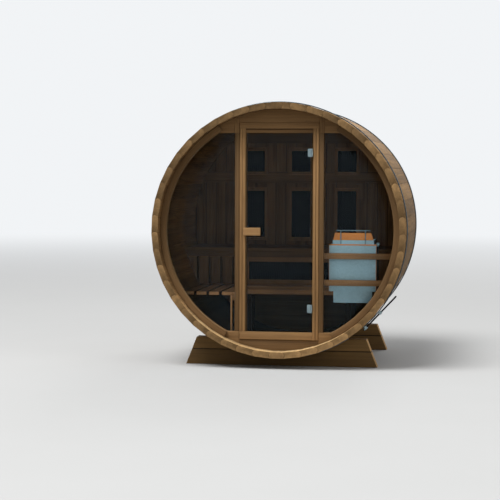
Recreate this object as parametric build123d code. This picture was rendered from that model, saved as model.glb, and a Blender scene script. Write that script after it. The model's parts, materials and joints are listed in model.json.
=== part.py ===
from build123d import *
from math import ceil, cos, radians, sin, sqrt
import os

# Barrel sauna on two cradles. Millimetres, +Z up, door end towards -Y.
# The origin lies on the ground under the middle of the barrel. A distance
# "from the front" is taken from the front ends of the staves.

# Barrel of staves
LENGTH = 1800.0            # stave length
R_OUT = 1032.0             # barrel axis to the outer corners of the staves
GROUND_GAP = 88.0          # ground to the lowest corner of the barrel
STAVE_T = 52.0             # stave thickness
STAVES_RIGHT = 22          # full staves from the base stave up the right side
STAVES_LEFT = 23           # full staves up the left side
BASE_ANGLE = 5.5           # narrow base stave at the bottom, degrees
CLOSING_ANGLE = 5.0        # closing stave that is driven in last, degrees
BEAD_H = 16.0              # how far the rounded edge stands out
BEAD_SHOULDER = 2.5        # flat left on each side of the bead

# End walls
RECESS = 115.0             # stave ends to the face of either end wall
WALL_T = 42.0              # thickness of the end walls
CROZE_D = 10.0             # depth of the groove that holds the end walls
BOARD_PITCH = 118.0        # boards of the rear wall
JOINT_D = 5.0              # depth of the V joints between those boards

# Side windows
RING_W = 50.0              # curved window frame, measured in from the staves
TRIM_T = 27.0              # cover trim in front of that frame
TRIM_FROM_TOP = 30.0       # where the trim stops, in degrees
TRIM_FROM_BOTTOM = 27.0
POST_W = 38.0              # upright posts between window and door frame
WINDOW_DROP = 36.0         # window top below the underside of the door head
WINDOW_RISE = 1.0          # window bottom above the top of the sill
GLASS_T = 8.0
GLASS_BITE = 8.0           # how far the panes sit in their grooves
GLASS_SETBACK = 24.0       # panes behind the wall face

# Door frame
JAMB_IN = 275.0            # clear half width of the doorway
JAMB_W = 50.0
FRAME_PROUD = 7.0          # frame stands in front of the wall
HEAD_DROP = 162.0          # top of the frame below the top of the barrel
HEAD_H = 47.0
STOP_H = 35.0              # strip under the head that the leaf closes against
STOP_T = 30.0
SILL_RISE = 143.0          # underside of the frame above the barrel's bottom
SILL_H = 62.0
SHADOW_W = 4.0             # rebate round the outside of the frame
SHADOW_D = 12.0

# Glass door and its hinges
DOOR_SIDE_PLAY = 10.0      # leaf to the jambs
DOOR_END_PLAY = 6.0        # leaf to the sill and to the stop
DOOR_SETBACK = 2.0         # leaf behind the wall face
PIVOT_INSET = 7.0          # hinge line to the right jamb
PIVOT_PROUD = 15.0         # hinge line in front of the wall face
HINGE_LOW = 188.0          # lower hinge above the leaf's bottom edge
HINGE_HIGH = 154.0         # upper hinge below the leaf's top edge
HINGE_H = 66.0
HINGE_W = 28.0             # plates on the glass
HINGE_T = 5.0
HINGE_GAP = 8.0            # plates to the hinge line
HINGE_ARM = 20.0           # arm from the plate to the knuckle
JAMB_LEAF_T = 3.0
TONGUE_T = 8.0
KNUCKLE_R = 6.0
KNUCKLE_PLAY = 1.2         # turning clearance round the knuckles
KNUCKLE_GAP = 0.5          # clearance between the knuckles along the pin
PIN_R = 3.0
PIN_PLAY = 0.05

# Door handle
HANDLE_L = 138.0
HANDLE_H = 64.0
HANDLE_T = 24.0
HANDLE_ROUND = 5.0
HANDLE_PROUD = 36.0        # its face in front of the wall face
HANDLE_PAST = 22.0         # it reaches past the free edge of the leaf
HANDLE_DROP = 12.0         # its middle below the barrel axis
BOSS_INSET = 12.0          # block between grip and glass, smaller all round
BOSS_EDGE = 8.0
GRIP_INNER_T = 34.0

# Hoops
HOOP_FROM_END = 100.0      # hoops from either end of the barrel
HOOP_R = 4.5               # round steel rod
LUG_UPPER = 128.5          # clockwise from the top, degrees
LUG_LOWER = 137.5
LUG_SIZE = (22.0, 26.0, 32.0)
LUG_FOOT = 1.0             # lugs stand this much higher than the inside of the rod
BOLT_R = 5.0
BOLT_LIFT = 18.0           # bolt line outside the staves, between the lugs
BOLT_STUB = 18.0           # bolt ends past the lower lug
BOLT_TAIL = 178.0          # free thread past the upper lug
NUT_R = 9.0
NUT_T = 8.0
NUT_SEAT = 3.0             # washer room between lug and nut

# Cradles
CRADLE_FROM_FRONT = 260.0
CRADLE_FROM_REAR = 190.0
CRADLE_T = 110.0
CRADLE_H = 227.0
CRADLE_JOINT = 128.0       # joint between its two layers
CRADLE_FOOT = 793.0        # half widths
CRADLE_TOP = 704.0

# Rear bench
SEAT_DROP = 194.0          # bench top below the barrel axis
BENCH_DEPTH = 583.0
BENCH_SLATS = 5
SLAT_T = 28.0
SLAT_GAP = 10.0
SLAT_END = 6.0             # slat ends to the staves
FASCIA_H = 50.0
CALF_HALF = 391.0          # dark panel under the bench, half width
CALF_RAIL = 42.0           # frame above and below that panel
CALF_STILE = 30.0
CALF_SETBACK = 8.0
CALF_T = 12.0
SKIRT_PITCH = 105.5        # upright slats beside the framed panel
SKIRT_GAP = 8.0
BEARER_H = 70.0
BEARER_X = 150.0           # inner bearers from the middle
OUTER_BEARER = 60.0        # outer bearers past the panel's frame
LEG = 45.0
HALVING = 10.0             # legs let into the bearers

# Foot boards
STEP_DROP = 318.0          # foot boards below the bench top
STEP_DEPTH = 245.0         # step in front of the bench
STEP_BOARDS = 3
STEP_FASCIA_H = 39.0
STEP_LEG_X = 205.0
SIDE_FROM_WALL = 43.0      # side boards behind the front wall
SIDE_LAP = 5.0             # their inner edge past the end of the dark panel
SIDE_STAVE_GAP = 27.0      # their outer edge to the staves
SIDE_BOARDS = 4
BOARD_GAP = 15.0
BENCH_PLAY = 2.0           # foot boards to the face of the bench
BEARER_FROM_FRONT = 280.0  # bearers under the side boards, from their ends
BEARER_FROM_REAR = 158.0
REAR_LEG = 30.0            # rear leg behind the front of the step
RAIL_T = 15.0
TENON = 5.0

# Lining and dark panels of the rear wall
BACK_T = 16.0
BACK_DROP = 302.0          # top of the lining below the top of the barrel
BACK_LIFT = 344.0          # height of its upper lift
BACK_SPLIT = 16.0          # open joint between the two lifts
PANEL_PITCH = 417.0
PANEL_W = 170.0
PANEL_T = 10.0
PANEL_MARGIN_LOW = 71.0    # lower panels above the bench
PANEL_MARGIN_MID = 70.0    # lower panels below the open joint
PANEL_MARGIN_HIGH = 84.0   # upper panels above the open joint
PANEL_MARGIN_TOP = 68.0    # upper panels below the top of the lining
PANEL_TRIM_W = 26.0
PANEL_TRIM_T = 18.0

# Heater and its guard rails
GUARD_DROPS = (447.0, 230.0)   # undersides of the rails below the axis
GUARD_H = 47.0
GUARD_T = 40.0
HEATER_W = 385.0
HEATER_H = 378.0
HEATER_D = 250.0
HEATER_DROP = 494.0        # underside of the wide body below the axis
HEATER_STAVE_GAP = 59.0    # lower right edge to the staves
BASE_H = 93.0              # narrower part under the body
BASE_INSETS = (37.0, 33.0)
COLLAR_H = 38.0            # open box that holds the stones
COLLAR_INSETS = (28.0, 21.0)
COLLAR_SETBACK = 13.0
STONES_D = 98.0
STONES_BELOW = 8.0
HOOD_H = 59.0              # sloping shield on the collar
HOOD_FOOT = 3.0            # its foot inside the collar's ends
HOOD_INSETS = (19.0, 23.0)
SHEET = 3.0
ROD_R = 4.0                # bent rail over the heater
ROD_RISE = 117.0
ROD_INSET = 30.0
ROD_POSTS = (67.0, 69.0)
ROD_FOOT = 6.0             # round foot of each post on the body
KNOB_R = 10.0              # knob on the side of the body
KNOB_L = 16.0
KNOB_DROP = 3.0            # its middle below the body's top
KNOB_FROM_FACE = 30.0

FIT = 0.3                  # clearance wherever one piece sits in another
PAST = 5.0                 # a cutting tool runs this far past what it cuts

# Sizes worked out from those above
AXIS_Z = GROUND_GAP + R_OUT
TOP_Z = AXIS_Z + R_OUT
FRONT = -LENGTH / 2
PITCH = (360.0 - BASE_ANGLE - CLOSING_ANGLE) / (STAVES_RIGHT + STAVES_LEFT)
R_FLAT_IN = R_OUT * cos(radians(PITCH / 2)) - STAVE_T
R_CORNER_IN = R_FLAT_IN / cos(radians(PITCH / 2))
R_WALL = R_FLAT_IN + CROZE_D - FIT
R_CLEAR = R_FLAT_IN - FIT
RING_IN = R_FLAT_IN - RING_W
WALL_BACK = RECESS + WALL_T
REAR_FACE = LENGTH - RECESS - WALL_T
GLASS_FRONT = RECESS + GLASS_SETBACK
POST_IN = JAMB_IN + JAMB_W
POST_OUT = POST_IN + POST_W
FRAME_OUT = POST_IN - FIT
HEAD_TOP = TOP_Z - HEAD_DROP
HEAD_BOTTOM = HEAD_TOP - HEAD_H
STOP_BOTTOM = HEAD_BOTTOM - STOP_H
SILL_BOTTOM = GROUND_GAP + SILL_RISE
SILL_TOP = SILL_BOTTOM + SILL_H
WINDOW_TOP = HEAD_BOTTOM - WINDOW_DROP
WINDOW_BOTTOM = SILL_TOP + WINDOW_RISE
DOOR_HALF = JAMB_IN - DOOR_SIDE_PLAY
DOOR_TOP = STOP_BOTTOM - DOOR_END_PLAY
DOOR_BOTTOM = SILL_TOP + DOOR_END_PLAY
DOOR_FRONT = RECESS + DOOR_SETBACK
DOOR_BACK = DOOR_FRONT + GLASS_T
PIVOT_X = JAMB_IN - PIVOT_INSET
PIVOT_Y = RECESS - PIVOT_PROUD
HINGE_Z = (DOOR_BOTTOM + HINGE_LOW, DOOR_TOP - HINGE_HIGH)
BOLT_R_AXIS = R_OUT + BOLT_LIFT
BENCH_TOP = AXIS_Z - SEAT_DROP
BENCH_FRONT = REAR_FACE - BENCH_DEPTH
BENCH_UNDER = BENCH_TOP - SLAT_T
STEP_TOP = BENCH_TOP - STEP_DROP
STEP_UNDER = STEP_TOP - SLAT_T
STEP_FRONT = BENCH_FRONT - STEP_DEPTH
BOARDS_END = BENCH_FRONT - BENCH_PLAY
SIDE_FRONT = WALL_BACK + SIDE_FROM_WALL
BACK_TOP = TOP_Z - BACK_DROP
SPLIT_TOP = BACK_TOP - BACK_LIFT
SPLIT_BOTTOM = SPLIT_TOP - BACK_SPLIT


# Helpers
def block(x0, x1, y0, y1, z0, z1):
    """Box between two corners, y taken from the front."""
    solid = Box(x1 - x0, y1 - y0, z1 - z0)
    return Pos((x0 + x1) / 2, FRONT + (y0 + y1) / 2, (z0 + z1) / 2) * solid


def band(y0, y1, z0, z1):
    """Slab across the whole width of the barrel."""
    return block(-R_OUT, R_OUT, y0, y1, z0, z1)


def row(y0, y1, count, gap):
    """Places of equal boards with equal gaps that fill a length."""
    width = (y1 - y0 - gap * (count - 1)) / count
    return [(y0 + n * (width + gap), y0 + n * (width + gap) + width) for n in range(count)]


def drum(radius, y0, y1):
    """Cylinder on the barrel axis."""
    solid = Cylinder(radius, y1 - y0, rotation=(90, 0, 0))
    return Pos(0, FRONT + (y0 + y1) / 2, AXIS_Z) * solid


def tube(r_in, r_out, y0, y1):
    """Ring on the barrel axis."""
    return drum(r_out, y0, y1) - drum(r_in, y0 - PAST, y1 + PAST)


def turned(shape, angle):
    """Turn a piece about the barrel axis, clockwise seen from the front."""
    return Pos(0, 0, AXIS_Z) * (Rot(0, angle, 0) * (Pos(0, 0, -AXIS_Z) * shape))


def sector(first, last):
    """Wedge of the barrel between two angles, through its whole length."""
    reach = 2 * R_OUT
    edges = [(reach * sin(radians(a)), reach * cos(radians(a)))
             for a in (first, (first + last) / 2, last)]
    wedge = make_face(Polyline((0, 0), *edges, close=True))
    return Pos(0, 0, AXIS_Z) * extrude(Plane.XZ * wedge, amount=LENGTH, both=True)


def half_width(z):
    """Half width of the inside of the barrel at a height."""
    return sqrt(R_CLEAR ** 2 - (z - AXIS_Z) ** 2)


def in_barrel(shape):
    """What of a shape lies inside the staves."""
    return shape & drum(R_CLEAR, 0, LENGTH)


def both_sides(shape):
    """A piece and its mirror image on the other side."""
    return [shape, mirror(shape, about=Plane.YZ)]


def save(name, shapes):
    """Write one node, made of one solid or of several that do not touch."""
    pieces = shapes if isinstance(shapes, list) else [shapes]
    solids = [s for p in pieces for s in p.solids()]
    shape = solids[0] if len(solids) == 1 else Compound(children=solids)
    shape.label = name
    export_step(shape, f"parts/{name}.step")
    print(name, len(solids))


# Shell of staves
def edge_frame(span, side):
    """Middle of a stave's side joint, and the direction out of it."""
    a = radians(span / 2) * side
    mid = (R_CORNER_IN + R_OUT) / 2
    return (mid * sin(a), mid * cos(a)), (side * cos(a), -side * sin(a))


def bead_radius():
    """Radius of the rounded edge, from its height and its width."""
    half = (R_OUT - R_CORNER_IN) / 2 - BEAD_SHOULDER
    return (half ** 2 + BEAD_H ** 2) / (2 * BEAD_H)


def stave(span, left, right):
    """One stave at the top of the barrel, with "bead" or "cove" for each side."""
    play = FIT / 2
    corners = []
    for side, radius in ((-1, R_CORNER_IN), (-1, R_OUT), (1, R_OUT), (1, R_CORNER_IN)):
        a = radians(span / 2) * side
        x = radius * sin(a) - side * play * cos(a)
        corners.append((x, radius * cos(a) + play * abs(sin(a))))
    section = make_face(Polyline(*corners, close=True))
    r = bead_radius()
    depth = r - BEAD_H
    for side, kind in ((-1, left), (1, right)):
        (mx, mz), (ox, oz) = edge_frame(span, side)
        if kind == "bead":
            section = section + Pos(mx - ox * depth, mz - oz * depth) * Circle(r - play)
        else:
            section = section - Pos(mx + ox * depth, mz + oz * depth) * Circle(r + play)
    solid = Pos(0, 0, AXIS_Z) * extrude(Plane.XZ * section, amount=LENGTH / 2, both=True)
    half = R_OUT * sin(radians(span / 2)) + BEAD_H + PAST
    croze = AXIS_Z + R_FLAT_IN + CROZE_D
    for y0 in (RECESS, REAR_FACE):
        solid = solid - block(-half, half, y0 - FIT, y0 + WALL_T + FIT, croze - STAVE_T, croze)
    return solid


def shell_nodes():
    """Staves on a narrow base stave, up both sides to the closing stave."""
    right = stave(PITCH, "bead", "cove")
    left = stave(PITCH, "cove", "bead")
    right_at = 180 - BASE_ANGLE / 2
    left_at = 180 + BASE_ANGLE / 2
    right_side = [turned(right, right_at - PITCH * (n + 0.5)) for n in range(STAVES_RIGHT)]
    left_side = [turned(left, left_at + PITCH * (n + 0.5)) for n in range(STAVES_LEFT)]
    base = turned(stave(BASE_ANGLE, "bead", "bead"), 180)
    closing_at = right_at - PITCH * STAVES_RIGHT - CLOSING_ANGLE / 2
    closing = turned(stave(CLOSING_ANGLE, "cove", "cove"), closing_at)
    nodes = {"shell_base": [base] + right_side[:3] + left_side[:3], "closing_stave": [closing]}
    for side, staves in (("right", right_side[3:]), ("left", left_side[3:])):
        nodes[f"shell_{side}_low"] = staves[:10]
        nodes[f"shell_{side}_high"] = staves[10:]
    return nodes


# Front wall
def pane(grow, y0, y1):
    """Side window on the right, grown by a distance."""
    low, top = WINDOW_BOTTOM - grow, WINDOW_TOP + grow
    return drum(RING_IN + grow, y0, y1) & block(POST_OUT - grow, R_OUT, y0, y1, low, top)


def front_wall():
    """Wall of frames and panels, set in the front groove."""
    disc = drum(R_WALL, RECESS, WALL_BACK)
    low, top = WINDOW_BOTTOM + FIT, WINDOW_TOP - FIT
    slot = pane(GLASS_BITE + FIT, GLASS_FRONT - FIT, GLASS_FRONT + GLASS_T + FIT)
    ring = tube(RING_IN, R_WALL, RECESS, WALL_BACK)
    trim = tube(RING_IN, R_CLEAR, RECESS - TRIM_T, RECESS)
    pieces = {
        "window_posts": block(POST_IN, POST_OUT, RECESS, WALL_BACK, low, top) - slot,
        "window_rings": (ring & block(POST_OUT, R_OUT, 0, LENGTH, low, top)) - slot,
        "corner_panels_top": (disc & block(POST_IN, R_OUT, 0, LENGTH, WINDOW_TOP, TOP_Z)) - slot,
        "corner_panels_bottom": (disc & block(POST_IN, R_OUT, 0, LENGTH, 0, WINDOW_BOTTOM)) - slot,
        "side_windows": pane(GLASS_BITE, GLASS_FRONT, GLASS_FRONT + GLASS_T),
        "curved_trims": trim & sector(TRIM_FROM_TOP, 180 - TRIM_FROM_BOTTOM),
    }
    nodes = {name: both_sides(shape) for name, shape in pieces.items()}
    nodes["top_panel"] = disc & block(-FRAME_OUT, FRAME_OUT, 0, LENGTH, HEAD_TOP + FIT, TOP_Z)
    nodes["bottom_panel"] = disc & block(-FRAME_OUT, FRAME_OUT, 0, LENGTH, 0, SILL_BOTTOM - FIT)
    return nodes


def door_frame():
    """Frame in the opening between the window posts, with a shadow rebate."""
    y0 = RECESS - FRAME_PROUD
    rebate = block(FRAME_OUT - SHADOW_W, FRAME_OUT + PAST, y0 - PAST, y0 + SHADOW_D, 0, TOP_Z)
    jamb = block(JAMB_IN, FRAME_OUT, y0, WALL_BACK, SILL_BOTTOM, HEAD_BOTTOM) - rebate
    left = mirror(jamb, about=Plane.YZ) - band(0, LENGTH, 0, SILL_TOP)
    head = block(-FRAME_OUT, FRAME_OUT, y0, WALL_BACK, HEAD_BOTTOM, HEAD_TOP)
    sill = block(-FRAME_OUT, JAMB_IN, y0, WALL_BACK, SILL_BOTTOM, SILL_TOP)
    for cut in both_sides(rebate):
        head = head - cut
        sill = sill - cut
    stop = block(-JAMB_IN, JAMB_IN, WALL_BACK - STOP_T, WALL_BACK, STOP_BOTTOM, HEAD_BOTTOM)
    return {"door_jambs": [jamb, left], "door_head": head + stop, "door_sill": sill}


# Glass door, handle and hinges
def post(radius, z0, z1):
    """Upright round bar on the hinge line."""
    return Pos(PIVOT_X, FRONT + PIVOT_Y, (z0 + z1) / 2) * Cylinder(radius, z1 - z0)


def door_handle():
    """Grip that reaches past the leaf, with its block, and the inner grip."""
    x0 = -DOOR_HALF - HANDLE_PAST
    x1 = x0 + HANDLE_L
    z0 = AXIS_Z - HANDLE_DROP - HANDLE_H / 2
    z1 = z0 + HANDLE_H
    y0 = RECESS - HANDLE_PROUD
    y1 = y0 + HANDLE_T
    grip = block(x0, x1, y0, y1, z0, z1)
    grip = fillet(grip.edges().filter_by(Axis.X), HANDLE_ROUND)
    inner = (-DOOR_HALF + BOSS_INSET, x1 - BOSS_INSET)
    boss = block(*inner, y1 - 2, DOOR_FRONT, z0 + BOSS_EDGE, z1 - BOSS_EDGE)
    return grip + boss, block(*inner, DOOR_BACK, DOOR_BACK + GRIP_INNER_T, z0, z1)


def door():
    """Frameless leaf that swings outwards about the right hinge line."""
    leaf = block(-DOOR_HALF, DOOR_HALF, DOOR_FRONT, DOOR_BACK, DOOR_BOTTOM, DOOR_TOP)
    x0, x1 = PIVOT_X - HINGE_GAP - HINGE_W, PIVOT_X - HINGE_GAP
    arm_x = PIVOT_X - HINGE_ARM
    arm_back = DOOR_FRONT - HINGE_T
    middle = HINGE_H / 6
    plates = []
    for zc in HINGE_Z:
        low, top = zc - HINGE_H / 2, zc + HINGE_H / 2
        plate = block(x0, x1, arm_back, DOOR_FRONT, low, top)
        arm = block(arm_x, PIVOT_X, PIVOT_Y - KNUCKLE_R / 2, arm_back, low, top)
        arm = arm & Pos(arm_x, FRONT + arm_back, zc) * Cylinder(HINGE_ARM + 1, HINGE_H)
        front = plate + arm + post(KNUCKLE_R, low, top)
        room = middle + KNUCKLE_GAP
        front = front - post(KNUCKLE_R + KNUCKLE_PLAY, zc - room, zc + room)
        front = front - post(PIN_R + PIN_PLAY, low - PAST, top + PAST)
        plates += [front, block(x0, x1, DOOR_BACK, DOOR_BACK + HINGE_T, low, top)]
    handle, inner_grip = door_handle()
    return {"door_glass": leaf, "door_handle": handle, "door_handle_inside": inner_grip,
            "door_hinges": plates}


def frame_hinges():
    """Leaves on the jamb, each with the pin that carries the door."""
    leaves = []
    middle = HINGE_H / 6
    for zc in HINGE_Z:
        low, top = zc - HINGE_H / 2, zc + HINGE_H / 2
        leaf = block(JAMB_IN - JAMB_LEAF_T, JAMB_IN, PIVOT_Y - 2, WALL_BACK - 8, low, top)
        for end in ((zc + middle, top + PAST), (low - PAST, zc - middle)):
            leaf = leaf - post(KNUCKLE_R + KNUCKLE_PLAY, *end)
        y0, y1 = PIVOT_Y - TONGUE_T / 2, PIVOT_Y + TONGUE_T / 2
        tongue = block(PIVOT_X, JAMB_IN, y0, y1, zc - middle, zc + middle)
        leaves.append(leaf + tongue + post(KNUCKLE_R, zc - middle, zc + middle)
                      + post(PIN_R, low, top))
    return {"frame_hinges": leaves}


# Hoops
def lug(angle, y):
    """Block on the rod end that the tension bolt passes through."""
    across, along, tall = LUG_SIZE
    foot = AXIS_Z + R_OUT + FIT + LUG_FOOT
    solid = Pos(0, FRONT + y, foot + tall / 2) * Box(across, along, tall)
    return turned(solid, angle)


def lug_reach():
    """Middle between the lugs to the outer face of either, along the bolt."""
    return BOLT_R_AXIS * sin(radians((LUG_LOWER - LUG_UPPER) / 2)) + LUG_SIZE[0] / 2


def tension_bolt(y, radius, past=0.0):
    """Straight bolt through the two lugs, with its free tail upwards."""
    low = -lug_reach() - BOLT_STUB - past
    top = lug_reach() + BOLT_TAIL + past
    bar = Cylinder(radius, top - low, rotation=(0, 90, 0))
    bar = Pos(-(low + top) / 2, FRONT + y, AXIS_Z + BOLT_R_AXIS) * bar
    return turned(bar, (LUG_UPPER + LUG_LOWER) / 2)


def hoop(y):
    """Rod round the barrel with its lugs, and the bolt that pulls it tight."""
    ring = Torus(R_OUT + FIT + HOOP_R, HOOP_R)
    ring = Pos(0, FRONT + y, AXIS_Z) * (Rot(90, 0, 0) * ring)
    rod = ring - sector(LUG_UPPER, LUG_LOWER)
    rod = rod + lug(LUG_UPPER, y) + lug(LUG_LOWER, y)
    rod = rod - tension_bolt(y, BOLT_R + FIT, past=PAST)
    bolt = tension_bolt(y, BOLT_R)
    nut = Rot(0, 90, 0) * extrude(RegularPolygon(NUT_R, 6), amount=NUT_T / 2, both=True)
    reach = lug_reach() + NUT_SEAT + NUT_T / 2
    for x in (-reach, reach):
        placed = Pos(x, FRONT + y, AXIS_Z + BOLT_R_AXIS) * nut
        bolt = bolt + turned(placed, (LUG_UPPER + LUG_LOWER) / 2)
    return rod, bolt


# Cradles
def cradle(y0):
    """Trapezoid of two layers, hollowed to the round of the barrel."""
    outline = make_face(Polyline((-CRADLE_FOOT, 0), (CRADLE_FOOT, 0), (CRADLE_TOP, CRADLE_H),
                                 (-CRADLE_TOP, CRADLE_H), close=True))
    body = Pos(0, FRONT + y0, 0) * extrude(Plane.XZ * outline, amount=-CRADLE_T)
    body = body - drum(R_OUT + FIT, 0, LENGTH)
    return body & band(0, LENGTH, 0, CRADLE_JOINT), body & band(0, LENGTH, CRADLE_JOINT, TOP_Z)


# Benches
def skirt_slats(first, low, top):
    """Upright slats from the panel's frame out to the staves."""
    count = ceil((half_width(top) - first) / SKIRT_PITCH)
    slats = []
    for n in range(count):
        x0 = first + SKIRT_GAP / 2 + n * SKIRT_PITCH
        x1 = x0 + SKIRT_PITCH - SKIRT_GAP
        slat = in_barrel(block(x0, x1, BENCH_FRONT, BENCH_FRONT + SLAT_T, low, top))
        slats += both_sides(slat) if slat.solids() else []
    return slats


def rear_bench():
    """Bench across the back, closed in front by fascia, slats and a framed panel."""
    front, back = BENCH_FRONT, BENCH_FRONT + SLAT_T
    reach = half_width(BENCH_UNDER) - SLAT_END
    slats = [block(-reach, reach, y0, y1, BENCH_UNDER, BENCH_TOP)
             for y0, y1 in row(BENCH_FRONT, REAR_FACE, BENCH_SLATS, SLAT_GAP)]
    low = BENCH_UNDER - FASCIA_H
    stile = CALF_HALF + CALF_STILE
    z0, z1 = STEP_TOP + CALF_RAIL, low - CALF_RAIL
    frame = block(-stile, stile, front, back, STEP_TOP, low)
    frame = frame - block(-CALF_HALF, CALF_HALF, 0, LENGTH, z0, z1)
    calf_half, y0 = CALF_HALF - FIT, front + CALF_SETBACK
    bearers = []
    for x in (-stile - OUTER_BEARER, -BEARER_X, BEARER_X, stile + OUTER_BEARER):
        x0, x1 = x - LEG / 2, x + LEG / 2
        bearer = block(x0, x1, back, REAR_FACE, BENCH_UNDER - BEARER_H, BENCH_UNDER)
        if abs(x) > stile:
            for y in (back, REAR_FACE - LEG):
                leg = block(x0, x1, y, y + LEG, 0, BENCH_UNDER - BEARER_H + HALVING)
                bearer = bearer + in_barrel(leg)
        bearers.append(bearer)
    return {"bench_slats": slats,
            "bench_fascia": in_barrel(band(front, back, low, BENCH_UNDER)),
            "calf_frame": frame,
            "calf_panel": block(-calf_half, calf_half, y0, y0 + CALF_T, z0 + FIT, z1 - FIT),
            "bench_skirt": skirt_slats(stile, STEP_TOP, low),
            "bench_trestles": bearers}


def foot_boards():
    """Low boards along the left side and a step in front of the rear bench."""
    x0, x1 = SIDE_STAVE_GAP - half_width(STEP_UNDER), -CALF_HALF - SIDE_LAP
    side = [block(a, b, SIDE_FRONT, BOARDS_END, STEP_UNDER, STEP_TOP)
            for a, b in row(x0, x1, SIDE_BOARDS, BOARD_GAP)]
    carrier = block(x1 - RAIL_T, x1, SIDE_FRONT, BOARDS_END, STEP_UNDER - LEG, STEP_UNDER)
    for y in (SIDE_FRONT + BEARER_FROM_FRONT, BOARDS_END - BEARER_FROM_REAR):
        bearer = block(-R_OUT, x1 - TENON, y, y + LEG, STEP_UNDER - RAIL_T, STEP_UNDER)
        carrier = carrier + in_barrel(bearer)
    for y in (SIDE_FRONT, STEP_FRONT + REAR_LEG):
        carrier = carrier + in_barrel(block(x1 - RAIL_T, x1, y, y + LEG, 0, STEP_UNDER - TENON))
    first = x1 + BOARD_GAP
    reach = half_width(STEP_UNDER) - SLAT_END
    step = [block(first, reach, y0, y1, STEP_UNDER, STEP_TOP)
            for y0, y1 in row(STEP_FRONT, BOARDS_END, STEP_BOARDS, BOARD_GAP)]
    y0 = STEP_FRONT + SLAT_T
    fascia = block(first, R_OUT, STEP_FRONT, y0, STEP_UNDER - STEP_FASCIA_H, STEP_UNDER)
    trestles = []
    for x in (first, STEP_LEG_X):
        trestle = block(x, x + LEG, y0, BOARDS_END, STEP_UNDER - LEG, STEP_UNDER)
        for y in (y0, BOARDS_END - LEG):
            trestle = trestle + in_barrel(block(x, x + LEG, y, y + LEG, 0, STEP_UNDER - TENON))
        trestles.append(trestle)
    return {"side_slats": side, "side_trestle": carrier, "step_slats": step,
            "step_fascia": in_barrel(fascia), "step_trestles": trestles}


# Rear wall and its lining
def boarded_wall():
    """Rear wall in its groove, with V joints between the boards outside."""
    wall = drum(R_WALL, REAR_FACE, REAR_FACE + WALL_T)
    outer = FRONT + REAR_FACE + WALL_T
    for n in range(-ceil(R_WALL / BOARD_PITCH) + 1, ceil(R_WALL / BOARD_PITCH)):
        z = AXIS_Z + n * BOARD_PITCH
        joint = make_face(Polyline((outer - JOINT_D, z), (outer + PAST, z + JOINT_D + PAST),
                                   (outer + PAST, z - JOINT_D - PAST), close=True))
        wall = wall - extrude(Plane.YZ * joint, amount=R_OUT, both=True)
    return wall


def rear_wall():
    """Rear wall with a lining in two lifts and framed panels."""
    face = REAR_FACE - BACK_T
    plate = drum(R_CLEAR, face, REAR_FACE)
    lifts = [plate & band(0, LENGTH, z0, z1)
             for z0, z1 in ((BENCH_TOP, SPLIT_BOTTOM), (SPLIT_TOP, BACK_TOP))]
    lower = (BENCH_TOP + PANEL_MARGIN_LOW, SPLIT_BOTTOM - PANEL_MARGIN_MID)
    upper = (SPLIT_TOP + PANEL_MARGIN_HIGH, BACK_TOP - PANEL_MARGIN_TOP)
    half, edge = PANEL_W / 2, PANEL_TRIM_W
    trims = []
    panels = []
    for x in (-PANEL_PITCH, 0.0, PANEL_PITCH):
        for z0, z1 in (lower, upper):
            x0, x1 = x - half, x + half
            outer = block(x0 - edge, x1 + edge, face - PANEL_TRIM_T, face, z0 - edge, z1 + edge)
            trims.append(outer - block(x0, x1, 0, LENGTH, z0, z1))
            panels.append(block(x0 + FIT, x1 - FIT, face - PANEL_T, face, z0 + FIT, z1 - FIT))
    return {"rear_wall": boarded_wall(), "back_lining": lifts, "back_panel_trims": trims,
            "back_panels": panels}


# Heater and its guard rails
def heater():
    """Heater seen from its back, hung behind two rails by the right window."""
    y0 = WALL_BACK + GUARD_T
    y1 = y0 + HEATER_D
    rails = [in_barrel(block(POST_IN + PAST, R_OUT, WALL_BACK, y0, AXIS_Z - drop, AXIS_Z - drop + GUARD_H))
             for drop in GUARD_DROPS]
    under = AXIS_Z - HEATER_DROP
    top = under + HEATER_H
    x1 = half_width(under) - HEATER_STAVE_GAP
    x0 = x1 - HEATER_W
    front, back = y0 + COLLAR_SETBACK, y1 - COLLAR_SETBACK
    body = block(x0, x1, y0, y1, under, top)
    body = body + block(x0 + BASE_INSETS[0], x1 - BASE_INSETS[1], front, back, under - BASE_H, under)
    c0, c1 = x0 + COLLAR_INSETS[0], x1 - COLLAR_INSETS[1]
    rim = top + COLLAR_H
    body = body + block(c0, c1, front, back, top, rim)
    cavity = (c0 + SHEET, c1 - SHEET, front + SHEET, back - SHEET)
    body = body - block(*cavity, rim - STONES_D, rim + PAST)
    knob = Pos(x1 + KNOB_L / 2, FRONT + y0 + KNOB_FROM_FACE, top - KNOB_DROP)
    body = body + knob * Cylinder(KNOB_R, KNOB_L, rotation=(0, 90, 0))
    stones = block(cavity[0] + FIT, cavity[1] - FIT, cavity[2] + FIT, cavity[3] - FIT,
                   rim - STONES_D, rim - STONES_BELOW)
    side = make_face(Polyline((c0 + HOOD_FOOT, rim), (c1 - HOOD_FOOT, rim),
                              (c1 - HOOD_INSETS[1], rim + HOOD_H),
                              (c0 + HOOD_INSETS[0], rim + HOOD_H), close=True))
    hood = Pos(0, FRONT + front, 0) * extrude(Plane.XZ * side, amount=-2 * SHEET)
    return {"guard_rails": rails, "heater_body": body, "heater_stones": stones,
            "heater_shield": hood, "heater_rail": bent_rail(c0, c1, (y0 + front) / 2, top)}


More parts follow.
